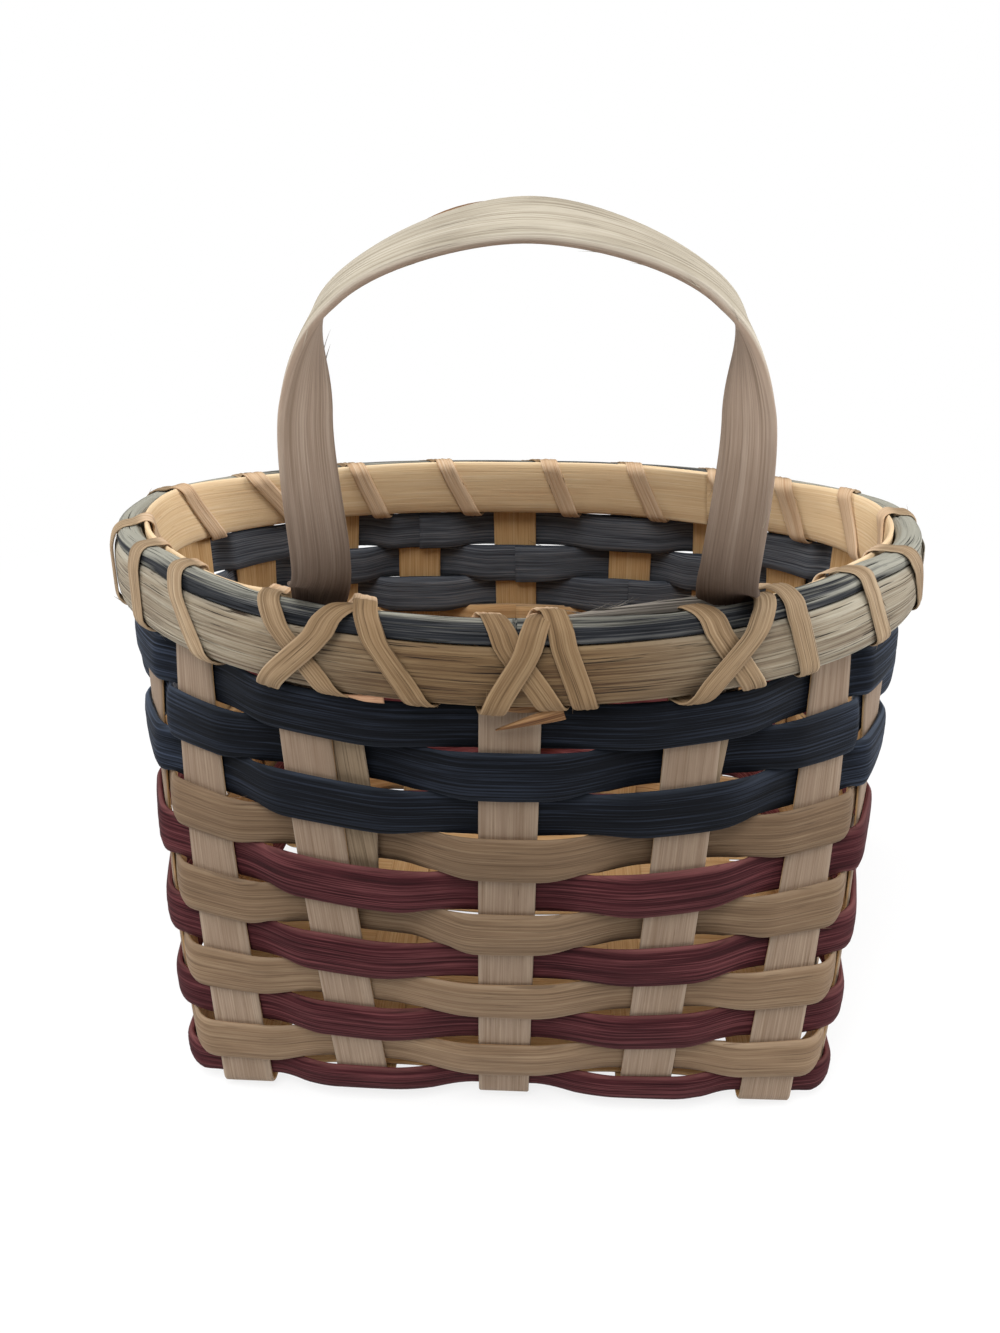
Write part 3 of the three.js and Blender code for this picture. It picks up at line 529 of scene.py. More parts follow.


# Painted light and shade: the inner face's lighter, warmer colours are painted light inside the basket, and
# the shading by height is painted shade that darkens the wall towards the rim.
NATURAL = reed_material(
    "natural_reed", "604C39 7C654E 8F7A61 937F69", contrast=1.1, inner="A67C50 C69F70 D6B48A",
    painted_shading=("Z", 20, 115, NO_TINT, "D6D3CF"))
# Painted light and shade, as on the natural reed: a lighter inner face for the light inside the basket, and
# painted shade darker towards the rim.
STAKE = reed_material(
    "stake_reed", "776350 887564 9B8975 9D8D7C", bump=0.35, cracks=0.2, inner="AA8050 C7A170 D5B58C",
    painted_shading=("Z", 20, 115, NO_TINT, "EAE8E6"))
# Painted shade: the shading by place darkens and reddens the band near the middle of its length, fading out
# towards the two ends, where side light falls.
BAND = reed_material(
    "band_reed", "5E5042 877C69 A09988 A8A69A", coarse=0.9, bump=1, cracks=1, contrast=1.15, fleck=0.9,
    painted_shading=("X", 15, 95, "C1A687", NO_TINT))
# Painted light: colours lighter than the outer band's stand for the light that falls inside the basket.
INNER_BAND = reed_material(
    "inner_band_reed", "C6A47E D7BB92 E0C8A5 DDC8A8", bump=0.3, cracks=0.12, slot="band_reed")
# Painted light and shade: a lighter inner face for the light inside the basket, and painted shade near the
# middle of the rim's length, as on the band.
LASHING = reed_material(
    "lashing_reed", "6C5840 8F785D A99579 A89379", coarse=1.2, contrast=1.2, cracks=0.6,
    inner="AD8B6A C6AA8B D1BA9F", painted_shading=("X", 15, 95, "DED4C5", NO_TINT), slot="natural_reed")
# Painted shade: the inner face's darker, browner colours stand for the shade on the legs' faces and edges,
# and both faces darken towards the foot of the legs.
HANDLE = reed_material(
    "handle_reed", "7C7262 AEA594 BFB7A8 BFB7AA", coarse=1.1, bump=0.6, inner="7A6858 938070 A79686",
    painted_shading=("Z", 175, 235, "B8A898", NO_TINT), inner_painted_shading=("Z", 160, 235, "543C28", NO_TINT))
DYED = {"fleck": 0.3, "rough": 0.76, "gloss": 0.1, "contrast": 1.4}
# Painted light: these colours are lighter than the dye, as a painted sheen at the two ends of the oval, and
# the shading by place darkens the middle back to the dye's colour. The lighter inner face is partly the dye's
# paler back and partly painted light inside the basket.
NAVY = reed_material(
    "navy_reed", "10141B 1D232E 424C5F 596373", **DYED, inner="34363C 54585F 74767A",
    painted_shading=("X", 78, 124, "8E8E8E", NO_TINT))
# The lighter inner face is partly the dye's paler back and partly painted light inside the basket.
BURGUNDY = reed_material("burgundy_reed", "240B0E 3F1A1E 603436 724946", **DYED, inner="4A2024 7A4044 9C6462")
SMOKED = reed_material(
    "smoked_reed", "101216 26282C 565655 9A988C", wear_reach=0.9, coarse=1.2, worn_noise=0.8, bump=1,
    fleck=0.6, gloss=0.12, contrast=1.25, cracks=1)
SMOKED_END = reed_material(
    "smoked_end_reed", "2C2926 67615A 989086 A09A90", coarse=0.9, bump=1, contrast=1.6, cracks=1, gloss=0.12,
    slot="smoked_reed")
CUT_END = reed_material("cut_end_reed", "3E2618 74502F 9C7650 A98760", contrast=1.4, slot="natural_reed")
PALE_END = reed_material("pale_end_reed", "7E5640 A67F62 BC987A BE9C7E", slot="natural_reed")


# Weavers
NAVY_ROWS, BURGUNDY_ROWS, NATURAL_ROWS = (1, 2, 3), (5, 7, 9, 11), (4, 6, 8, 10)
# Widths over the stakes of the rows that differ from the others. Row 0 is the rim weaver.
ROW_WIDTHS = {0: PRESSED_WIDTH, 1: 14, 2: 15, 3: 15, 4: 14.6, 5: 15.4, 6: 15.4, 7: 14.8, ROWS: 9.6}
# The lap in stakes, the stations over which an end thins, and its shares of the thickness
LAP_STAKES, THINNING, LAP_SHARE, TIP_SHARE = 2, 0.4, 0.5, 0.08
STEPS_PER_STAKE = 22
RIDGE_HEIGHT = 0.032
# On the far wall the rows are wider, below the navy ones more so, and the top row runs higher
FAR_REACH, FAR_ROOM, LOWER_FAR_ROOM, TOP_FAR_LIFT = 30, 1.1, 0.9, 0.7
LOWEST_LIFT = 0.6
# How much a strip narrows here and there, as a share of its width
NARROWING = 0.012


def weaver(row):
    height = OUTER_BOTTOM + PRESSED_WIDTH / 2 if row == 0 else TOP_ROW - (row - 1) * ROW_PITCH
    full, pressed = ROW_WIDTHS.get(row, WEAVER_WIDTH), PRESSED_WIDTH
    if row == ROWS:
        pressed = LOWEST_ROW_WIDTH
        height = LOWEST_ROW_TOP - LOWEST_ROW_WIDTH / 2
    covers = height + full / 2 > TAIL_END - GAP
    lap = Lap(height)
    seed = 100 + row

    def offset_of(stake):
        if (stake + row) % 2 == 0:
            return WEAVE_OFFSET
        return -WEAVE_OFFSET - (LEG_ROOM if covers and stake in LEGS else 0)

    def before_of(stake):
        reach = STAKE_WIDTH / 2
        if covers and stake in LEGS:
            reach = max(reach, tail_beside(stake, height) + HANDLE_WIDTH / 2)
        return reach + HOLD_ROOM

    # The ends are shaved thin and lap over each other behind stakes
    first = 8 + (row + 1) % 2 + 2 * (row % 3 == 0)
    last = STAKES + LAP_STAKES
    stations = np.linspace(first, first + last, last * STEPS_PER_STAKE + 1)
    run = stations - first
    past = stations > STAKES + 2
    s = lap.length(np.where(past, stations - STAKES, stations)) + np.where(past, lap.turn, 0)
    offsets = held(lap, np.mod(s, lap.turn), offset_of, before_of, STAKE_WIDTH / 2 + HOLD_ROOM)

    def thinned(end):
        return smooth((run - end + THINNING) / THINNING)

    starts = run < LAP_STAKES + THINNING / 2
    share = np.where(starts, LAP_SHARE + (1 - LAP_SHARE) * thinned(LAP_STAKES),
                     1 - (1 - LAP_SHARE) * thinned(STAKES) - (LAP_SHARE - TIP_SHARE) * thinned(last))
    shift = np.where(starts, -1, 1) * (1 - share) * WEAVER_THICKNESS / 2
    across, out = oval_profile(2, WEAVER_THICKNESS, steps=18)
    lines = ridges(across, s, seed, 1.6, 90, (11, 17, 23))
    thickness = share[:, None] * (out + RIDGE_HEIGHT * lines * (out > 0))
    swell = np.clip(np.abs(offsets) / WEAVE_OFFSET, 0, 1)
    far = smooth(wall(stations, height)[:, 1] / FAR_REACH)
    lower_room = LOWER_FAR_ROOM * far if row > max(NAVY_ROWS) else 0
    half = (lerp(pressed, full + lower_room, swell) + FAR_ROOM * far) / 2
    narrow = 1 - NARROWING * (1 + np.sin(s / 9 + seed)) + wander(s, seed, NARROWING, 40)
    drift = wander(s, seed + 50, 0.25, 70)
    if row == ROWS:
        drift = drift + LOWEST_LIFT * swell
    if row == 1:
        drift = drift + TOP_FAR_LIFT * far
    v = across * (half * narrow)[:, None]
    place = on_wall(stations[:, None], height + drift[:, None] + v,
                    offsets[:, None] + thickness + shift[:, None])
    return make_mesh(f"weaver_{row}", place, s, v, out, seed, inner=out < -0.3 * WEAVER_THICKNESS)


# Stakes
# The base's lengthwise strips: the stakes, with a filler between each two
STRIPS = np.linspace(LONG_BASE_Y[0], LONG_BASE_Y[-1], 2 * LONGS - 1)


def base_holds(places, index, over):
    """The edges of the strips that a base strip crosses, with its offset at each."""
    return [(place + side * STAKE_WIDTH / 2, over * BASE_CROSSING * (-1) ** (index + i + 1))
            for i, place in enumerate(places) for side in (-1, 1)]


def hold_heights(at, holds):
    """Outward offset along a base strip, eased between its holds."""
    result = np.full_like(at, holds[0][1])
    for (a, oa), (b, ob) in zip(holds, holds[1:]):
        inside = (at > a) & (at <= b)
        result = np.where(inside, lerp(oa, ob, smooth((at - a) / (b - a))), result)
    return np.where(at > holds[-1][0], holds[-1][1], result)


BASE_STEPS = 120


def stake_mesh(name, first, last, axis, holds, seed):
    """A strip from the rim at one stake, under the base, to the rim at another."""
    across, out = stake_profile()
    # The bend has the closer steps
    heights = np.r_[np.linspace(BEND_START, 12, 18), np.linspace(13.5, OUTER_TOP, 90)]

    def arm(stake, direction, start_offset):
        station = station_beside(stake, heights[:, None], direction * across)
        free = LOWEST_ROW_TOP - LOWEST_ROW_WIDTH - BEND_START
        settle = start_offset * (1 - smooth((heights - BEND_START) / free))
        return on_wall(station, heights[:, None], settle[:, None] + out)

    first_arm = arm(first, -1, holds[0][1])[::-1]
    last_arm = arm(last, 1, holds[-1][1])
    start, end = first_arm[-1], last_arm[0]
    low_at, high_at = start[:, axis].mean(), end[:, axis].mean()
    at = np.linspace(low_at, high_at, BASE_STEPS)[1:-1]
    share = (at - low_at) / (high_at - low_at)
    floor = start + (end - start) * share[:, None, None]
    floor[:, :, 2] = BASE_HEIGHT - hold_heights(at, holds)[:, None] - out
    sections = np.r_[first_arm, floor, last_arm]
    return make_mesh(name, sections, run_along(sections.mean(axis=1)), across, out, seed, inner=out < 0)


def filler_strip_mesh(name, index, seed):
    holds = base_holds(CROSS_BASE_X, 2 * index + 1, -1)
    across, out = stake_profile()
    at = np.linspace(holds[0][0] - FILLER_STRIP_END, holds[-1][0] + FILLER_STRIP_END, BASE_STEPS)
    depth = BASE_HEIGHT - hold_heights(at, holds)[:, None] - out
    sections = np.stack(np.broadcast_arrays(at[:, None], STRIPS[2 * index + 1] + across, depth), -1)
    return make_mesh(name, sections, at, across, out, seed, inner=out < 0)


# Rim
RIM_LAP = Lap(RIM_MIDDLE)
# The bands: how far their ends lap, a shaved tip's share of the thickness, and their steps
BAND_OVERLAP, BAND_TIP_SHARE, BAND_STEPS = 34, 0.12, 560
BULGE_REACH = 12
# The filler's lift over the near wall and its drop over the far one
NEAR_LIFT, FAR_DROP = 1.5, 2.3
FILLER_STEPS, FILLER_POINTS, UNDER_POINTS, FILLER_LIP = 700, 25, 5, 0.35
RIDGE_RELIEF = 0.07


def leg_bulge(s):
    """How far the rim's inner side stands off to clear the handle's tails."""
    result = np.zeros_like(s)
    for centre in (RIM_LAP.length(stake) + turn * RIM_LAP.turn for stake in LEGS for turn in (-1, 0, 1, 2)):
        start = centre - TAIL_SETBACK - HANDLE_WIDTH / 2 - HOLD_ROOM
        end = centre + STAKE_WIDTH / 2 + HOLD_ROOM
        up = smooth((s - start + BULGE_REACH) / BULGE_REACH)
        result = np.maximum(result, up * smooth((end + BULGE_REACH - s) / BULGE_REACH))
    return result * LEG_ROOM


def nearness(y):
    """From 0 in the middle to 1 at the near wall."""
    return smooth((-y - 15) / 45)


def rim_band(name, bottom, tall, thickness, seed, first, look=1, dip=0):
    """A band round the rim whose shaved ends lap over each other. look is 1 where its crown
    looks outward and -1 where it looks inward, and dip is how far it sinks at the near wall."""
    height = bottom + tall / 2
    across, out = oval_profile(tall, thickness, crown=3.2)
    out = look * out
    start = RIM_LAP.length(first)
    end = start + RIM_LAP.turn + BAND_OVERLAP
    s = np.linspace(start, end, BAND_STEPS)
    offset = np.full_like(s, look * (BAND_OFFSET + thickness / 2))
    if look < 0:
        offset -= leg_bulge(s)
    share = lerp(BAND_TIP_SHARE, 1, smooth(np.minimum(s - start, end - s) / BAND_OVERLAP))
    # The first end lies under the last one
    shift = np.where(s - start < BAND_OVERLAP + 1, -look, look) * (1 - share) * thickness / 2
    stations = RIM_LAP.station(s)
    drift = wander(s, seed, 0.18, 90) - dip * nearness(wall(stations, height)[:, 1])
    sections = on_wall(stations[:, None], height + across + drift[:, None],
                       offset[:, None] + out * share[:, None] + shift[:, None])
    return make_mesh(name, sections, s, across, out, seed)


def filler_lift(station):
    """The filler stands prouder over the near wall and lower over the far one."""
    y = wall(station, RIM_MIDDLE)[..., 1]
    return NEAR_LIFT * nearness(y) - FAR_DROP * smooth((y - 10) / 35)


def rim_filler_mesh():
    outside = BAND_OFFSET + RIM_FILLER_OVERLAP
    stations = np.linspace(0, STAKES, FILLER_STEPS, endpoint=False)
    s = RIM_LAP.length(stations)
    inside = lerp(2 * GAP - BAND_OFFSET, -STAKE_THICKNESS / 2, leg_bulge(s) / LEG_ROOM)
    angle = np.radians(np.linspace(0, 180, FILLER_POINTS))
    half = (outside - inside)[:, None] / 2
    middle = (outside + inside)[:, None] / 2
    arc = middle + half * np.sign(np.cos(angle)) * np.abs(np.cos(angle)) ** 0.8
    peak = RIM_FILLER_HEIGHT + filler_lift(stations) + wander(s, 301, 0.15, 50)
    lines = ridges(angle, s, 310, 2.2, 70, (7, 11, 16))
    rise = np.sin(angle)
    top = FILLER_LIP + (peak[:, None] - FILLER_LIP) * rise ** 0.62 + RIDGE_RELIEF * lines * rise
    under = middle + half * np.linspace(-0.97, 0.97, UNDER_POINTS)
    sections = on_wall(stations[:, None], FILLER_BOTTOM + np.concatenate([top, np.zeros_like(under)], axis=1),
                       np.concatenate([arc, under], axis=1))
    girth = np.r_[angle * 4, np.linspace(13, 20, UNDER_POINTS)]
    # It is worn along its top, and most of all at the two ends of the oval
    worn = np.r_[rise ** 2.2, np.zeros(UNDER_POINTS)]
    ends = smooth((np.abs(wall(stations, RIM_MIDDLE)[:, 0]) - 80) / 26)[:, None]
    return make_mesh("rim_filler", sections, s, girth, 0, 300, worn * (0.75 + 0.25 * ends) + 0.7 * ends,
                     closed=True)


# Lashing: each turn as where it goes under the rim and over it, and its lifts
# outside, on top and inside. Near turns are given by x and the others by station.
FIRST_TURNS = [(22, 12.5, 0, 1, 1), (-4, 9.5, 1, 0, 0), (15, -2.5, 0, 0, 0), (-18, -34.5, 0, 1, 1),
               (-64, -37.5, 1, 0, 0), (-40, -61, 0, 0, 0)]
ROUND_TURNS = [(1.6, 2.03), (2.68, 2.93), (3.4, 3.63), (4.32, 4.8), (5.45, 6), (6.6, 7.16), (7.6, 8.25),
               (8.63, 9.28), (9.5, 9.98), (10.35, 11), (11.4, 11.83), (12.3, 12.8), (13.4, 13.75),
               (14.32, 14.85), (15.3, 15.88)]
LAST_TURNS = [(80, 71, 0, 1, 1), (45, 66.5, 1, 0, 0), (66, 48, 0, 0, 0)]
LASH_END_X = 28
# The steps along the lashing, its share of the solid's thickness, and its room
LASH_STEP, LASH_THIN, LASH_CLOSE = 0.9, 0.75, 0.12


def rim_length_at(x):
    s = np.linspace(RIM_LAP.length(NEAR_FIRST - 0.5) - RIM_LAP.turn, RIM_LAP.length(2.5), 800)
    points = on_wall(RIM_LAP.station(s), RIM_MIDDLE, BAND_OFFSET)
    return float(np.interp(-x, -points[:, 0], s))


def lashing_turns():
    turn = RIM_LAP.turn
    turns = [(rim_length_at(u), rim_length_at(o), *lifts) for u, o, *lifts in FIRST_TURNS]
    turns += [(RIM_LAP.length(u), RIM_LAP.length(o), 0, 0, 0) for u, o in ROUND_TURNS]
    turns += [(rim_length_at(u) + turn, rim_length_at(o) + turn, *lifts) for u, o, *lifts in LAST_TURNS]
    return turns


def half_turn(corners, start, end, lifts):
    """Steps through corners in the rim's section, as (length, offset, height, lift)."""
    least_step, ease = 0.4, 0.2
    corners = np.array(corners, float)
    lengths = run_along(corners)
    run = lengths[-1]
    at = np.arange(0, run - least_step, LASH_STEP)
    share = at / run
    outer = np.where(share < 0.5, lifts[0], lifts[2])
    lift = lerp(outer, lifts[1], smooth(np.minimum(share, 1 - share) / ease))
    length = lerp(start, end, (share + smooth(share)) / 2)
    return np.stack([length, *(np.interp(at, lengths, corners[:, i]) for i in (0, 1)), lift], -1)


def step_over(points):
    """From the point before each point to the one after it."""
    return np.vstack([points[1:], points[-1:]]) - np.vstack([points[:1], points[:-1]])


def lashing_mesh():
    reach = LASH_THICKNESS / 2 + LASH_ROOM
    close = LASH_THICKNESS / 2 + LASH_CLOSE
    outside = BAND_OFFSET + OUTER_THICKNESS
    inside = -BAND_OFFSET - INNER_THICKNESS
    filler_edge = BAND_OFFSET + RIM_FILLER_OVERLAP
    crown = FILLER_TOP + close
    up = [(0, SLOT), (outside - BAND_BEVEL, SLOT), (outside + close, OUTER_BOTTOM + BAND_BEVEL / 2),
          (outside + close, OUTER_TOP - BAND_BEVEL / 2),
          (filler_edge + close, FILLER_BOTTOM + RIM_FILLER_SHOULDER + reach / 2),
          (filler_edge - RIM_FILLER_SHOULDER + close / 2, crown), (0, crown)]
    down = [(0, crown), (-BAND_OFFSET, INNER_TOP + close), (inside - close, INNER_TOP - BAND_BEVEL / 2),
            (inside - close, INNER_BOTTOM + BAND_BEVEL / 2), (inside + BAND_BEVEL, SLOT), (0, SLOT)]
    turns = lashing_turns()
    starts = [turn[0] for turn in turns] + [rim_length_at(LASH_END_X) + RIM_LAP.turn]
    stops = []
    for (under, over, *lifts), after in zip(turns, starts[1:]):
        outer, top, inner = (LASH_LIFT * LASH_THIN * value for value in lifts)
        stops.append(half_turn(up, under, over, (0, outer, top)))
        stops.append(half_turn(down, over, after, (top, inner, 0)))
    stops = np.concatenate(stops)
    blur(stops, 3)
    step = step_over(stops)
    look = unit(np.stack([np.zeros(len(stops)), step[:, 2], -step[:, 1]], -1))
    centre = stops[:, :3] + look * stops[:, 3:]
    way = unit(step_over(centre))
    side = unit(np.cross(way, look))
    across, out = oval_profile(LASH_WIDTH, LASH_THIN * LASH_THICKNESS, crown=4.5, steps=13)
    lines = ridges(across, LASH_STEP * np.arange(len(centre)), 510, 1.5, 60, (3, 5))
    relief = out + RIDGE_RELIEF * lines * (1 - (2 * across / LASH_WIDTH) ** 2) * np.sign(out)
    length, offset, height = np.moveaxis(swept(centre, side, np.cross(side, way), across, relief), -1, 0)
    offset = offset - np.clip(-offset / BAND_OFFSET, 0, 1) * leg_bulge(np.mod(length, RIM_LAP.turn))
    stations = RIM_LAP.station(length)
    over = smooth((height - OUTER_TOP) / 3) * smooth((offset + 3) / 3)
    sections = on_wall(stations, height + over * filler_lift(stations), offset)
    return make_mesh("rim_lashing", sections, run_along(sections.mean(axis=1)), across, out, 500,
                     inner=smooth((-offset - 1) / 4))


# Handle
def catmull(points, share):
    """The CAD handle's centripetal spline through points."""
    points = np.asarray(points, float)
    spans = len(points) - 1
    at = np.clip(share * spans, 0, spans - 1e-9)
    i = np.floor(at).astype(int)
    t = (at - i)[:, None]
    extended = np.vstack([2 * points[:1] - points[1:2], points, 2 * points[-1:] - points[-2:-1]])
    p0, p1, p2, p3 = (extended[i + k] for k in range(4))
    d0, d1, d2 = (np.maximum(np.linalg.norm(b - a, axis=1, keepdims=True) ** 0.5, 1e-4)
                  for a, b in ((p0, p1), (p1, p2), (p2, p3)))
    m1 = ((p1 - p0) / d0 - (p2 - p0) / (d0 + d1) + (p2 - p1) / d1) * d1
    m2 = ((p2 - p1) / d1 - (p3 - p1) / (d1 + d2) + (p3 - p2) / d2) * d1
    return ((2 * t ** 3 - 3 * t ** 2 + 1) * p1 + (t ** 3 - 2 * t ** 2 + t) * m1
            + (-2 * t ** 3 + 3 * t ** 2) * p2 + (t ** 3 - t ** 2) * m2)


def tail_place(stake, height):
    """The middle of a handle's tail by its stake, and the way along the wall there."""
    half = STAKE_WIDTH / 2
    ends = [wall(station_beside(stake, height, d), height) for d in (-half, half)]
    along = unit(ends[1] - ends[0])
    out = unit(np.cross(up_wall(stake, height), along))
    return (ends[0] + ends[1]) / 2 - along * tail_beside(stake, height) + out * LEG_OFFSET, along


def handle_path():
    """The handle's guide points, and the way across the reed at each."""

    def tail(stake, direction):
        places = [tail_place(stake, height) for height in np.linspace(TAIL_END, TAIL_TOP, 7)]
        return [(point, along * direction) for point, along in places]

    def arch(side):
        return [(np.array([HANDLE_X + side * span, depth, height]), twist)
                for height, span, depth, twist in ARCH]

    top_height, top_depth, top_twist = ARCH_TOP
    top = [(np.array([HANDLE_X, top_depth, top_height]), top_twist)]
    rows = tail(LEGS[0], -1) + arch(-1) + top + arch(1)[::-1] + tail(LEGS[1], 1)[::-1]
    guide = np.array([point for point, _ in rows])
    acrosses = []
    for index, (_, twist) in enumerate(rows):
        if isinstance(twist, np.ndarray):
            acrosses.append(twist)
            continue
        pair = catmull(guide, (index + np.array([-1e-3, 1e-3])) / (len(guide) - 1))
        way = unit(pair[1] - pair[0])
        in_plane = unit(np.cross([0, 1, 0], way))
        angle = math.radians(twist)
        acrosses.append(in_plane * math.cos(angle) + np.cross(way, in_plane) * math.sin(angle))
    return guide, np.array(acrosses)


def handle_mesh():
    guide, acrosses = handle_path()
    shares = np.linspace(0, 1, 420)
    points = catmull(guide, shares)
    height = points[:, 2]
    way = unit(np.gradient(points, axis=0))
    side = catmull(acrosses, shares)
    side = unit(side - way * np.sum(side * way, axis=1, keepdims=True))
    full = smooth((height - TAIL_TOP) / (FULL_THICKNESS - TAIL_TOP))
    thickness = lerp(TAIL_THICKNESS, HANDLE_THICKNESS, full)
    whole = np.clip((height - TAIL_END) / TAIL_TIP_LENGTH, 0, 1)
    s = run_along(points)
    half = lerp(TAIL_TIP_WIDTH, HANDLE_WIDTH, whole) / 2 * (1 + wander(s, 9, NARROWING, 60))
    across, out = oval_profile(2, 1, crown=3.4, steps=14)
    v = across * half[:, None]
    sections = swept(points, side, np.cross(way, side), v, out * thickness[:, None])
    # The inner face's colour, painted shade on the legs, goes round the edges of the legs, and ends below the
    # rim
    legs_end, below_rim = 195, 148
    line = lerp(0.5, 0.12, smooth((height - legs_end) / 45))
    above_wall = smooth((height - below_rim) / 12)
    inner = smooth((line[:, None] - out) / 0.3) * above_wall[:, None]
    return make_mesh("handle", sections, s, v, 2 * out, 700, inner=inner)


# The pieces
def dress(node, mesh, look):
    """The piece that stands for a CAD node."""
    add_piece(f"{node}_reed", mesh, look, node)


for i in range(len(CROSS_BASE_X)):
    node = f"cross_stake_{i + 1}"
    mesh = stake_mesh(node, (MIDDLE - i) % STAKES, FAR_START + i, 1, base_holds(STRIPS, i, 1), seed=200 + i)
    dress(node, mesh, STAKE)
for i in range(LONGS):
    node = f"long_stake_{i + 1}"
    mesh = stake_mesh(node, MIDDLE + 1 + i, RIGHT_START + LONGS - 1 - i, 0,
                      base_holds(CROSS_BASE_X, 2 * i, -1), seed=220 + i)
    dress(node, mesh, STAKE)
for i in range(LONGS - 1):
    node = f"base_filler_{i + 1}"
    dress(node, filler_strip_mesh(node, i, seed=240 + i), STAKE)
for row in range(1, ROWS + 1):
    look = NAVY if row in NAVY_ROWS else BURGUNDY if row in BURGUNDY_ROWS else NATURAL
    dress(f"weaver_row_{row:02d}", weaver(row), look)
dress("rim_weaver", weaver(0), NATURAL)
mesh = rim_band("outer_band", OUTER_BOTTOM, OUTER_HEIGHT, OUTER_THICKNESS, 310, 13.4)
dress("outer_rim_band", mesh, BAND)
mesh = rim_band("inner_band", INNER_BOTTOM, INNER_HEIGHT, INNER_THICKNESS, 320, 9.85, look=-1, dip=1)
dress("inner_rim_band", mesh, INNER_BAND)
dress("rim_filler", rim_filler_mesh(), SMOKED)
dress("rim_lashing", lashing_mesh(), LASHING)
dress("handle", handle_mesh(), HANDLE)

# Loose ends and fibres
# A fibre's corners across and out
FIBRE_ACROSS, FIBRE_OUT = np.array([1, 0, -1]), np.array([-0.4, 0.8, -0.4])


def sliver(start, way, lift, length, width, bend):
    """A tapering fibre of three sides, as sections."""
    taper = 0.92
    share = np.linspace(0, 1, 5)
    centre = start + way * (share * length)[:, None] + lift * (bend * share ** 2 * length)[:, None]
    reach = width * (1 - taper * share[:, None]) / 2
    return swept(centre, unit(np.cross(way, lift)), lift, reach * FIBRE_ACROSS, reach * FIBRE_OUT)


def join_slivers(name, slivers, seed):
    """One mesh of slivers, each with its own place in the fibres' pattern, in metres."""
    points, faces, fibre = [], [], []
    for count, sections in enumerate(slivers):
        rows, ring = sections.shape[:2]
        faces += skin(len(points) + np.arange(rows * ring).reshape(rows, ring))
        points += sections.reshape(-1, 3).tolist()
        fibre += [(i * 0.002, (j + count) * 0.0004, seed + count) for i in range(rows) for j in range(ring)]
    return new_mesh(name, np.array(points), faces, np.array(fibre), 0.5, 0)


def edge_fibres(sources, count, seed, longest, lowest):
    """Fibres that lift from the edges of the pieces made so far, above the lowest height."""
    shortest, root, edge_share = 2, 0.15, 0.93
    widths, turns, bends = (0.18, 0.42), (0.02, 0.22), (-0.1, 0.25)
    rng = np.random.default_rng(seed)
    made = []
    while len(made) < count:
        sections = SECTIONS[sources[rng.integers(len(sources))]]
        i = int(rng.integers(3, len(sections) - 4))
        centre = sections[i].mean(axis=0)
        spread = np.linalg.norm(sections[i] - centre, axis=1)
        edges = np.nonzero(spread > edge_share * spread.max())[0]
        edge = sections[i][edges[rng.integers(len(edges))]]
        direction = 1 if rng.random() < 0.5 else -1
        way = unit(sections[i + 3 * direction].mean(axis=0) - centre)
        lift = unit(edge - centre)
        length = rng.uniform(shortest, longest)
        width = rng.uniform(*widths)
        way = unit(way + rng.uniform(*turns) * lift)
        if edge[2] > lowest:
            made.append(sliver(edge - lift * root, way, lift, length, width, rng.uniform(*bends)))
    return made


def near_station(x, height):
    stations = np.linspace(-2.5, 2.5, 400)
    return float(np.interp(-x, -wall(stations, height)[:, 0], stations))


def loose_end(name, points, width, thickness, seed):
    """A pointed flat strip through (x, the wall's height that x is for, height, offset)."""
    steps, taper, wear, run = 24, 0.94, 0.4, 20
    points = np.array([(near_station(x, at), height, offset) for x, at, height, offset in points])
    share = np.linspace(0, 1, steps)
    at = np.stack([np.interp(share, np.linspace(0, 1, len(points)), points[:, k]) for k in range(3)], -1)
    blur(at, 4)
    centre, out = on_wall(*at.T), out_of_wall(*at[:, :2].T)
    side = unit(np.cross(unit(np.gradient(centre, axis=0)), out))
    across, rise = oval_profile(2, thickness, steps=6)
    v = across * (width / 2 * (1 - taper * share ** 1.6))[:, None]
    return make_mesh(name, swept(centre, side, out, v, rise), share * run, v, 0, seed, wear)


FILLER_END = [(56, -0.3, -1.6), (44, 0.35, -1.9), (32, 0.45, -1.7), (22, 0.3, -1.2), (14, 0.1, -0.8)]
# Name, points, width, thickness, seed and look
LOOSE_ENDS = [
    ("lashing_tail_1", [(15, 150, 150.5, 4.6), (8, 149, 148.3, 4.3), (-1.5, 146, 144.6, 3)],
     4.4, 0.7, 610, CUT_END),
    ("lashing_tail_2", [(9, 151, 151.3, 3), (4, 151, 150.4, 2.6), (-3, 150, 150.2, 2)],
     3.2, 0.6, 611, CUT_END),
    ("rim_weaver_end", [(-29, 151, 151.8, 4.4), (-34, 151, 151.3, 4.6), (-39.5, 151, 151.4, 4.4)],
     2.6, 0.6, 612, PALE_END),
    ("filler_end", [(x, RIM_MIDDLE, FILLER_TOP + 1.5 + rise, offset) for x, rise, offset in FILLER_END],
     4.6, 0.9, 620, SMOKED_END)]
for name, points, width, thickness, seed, look in LOOSE_ENDS:
    add_piece(name, loose_end(name, points, width, thickness, seed), look)


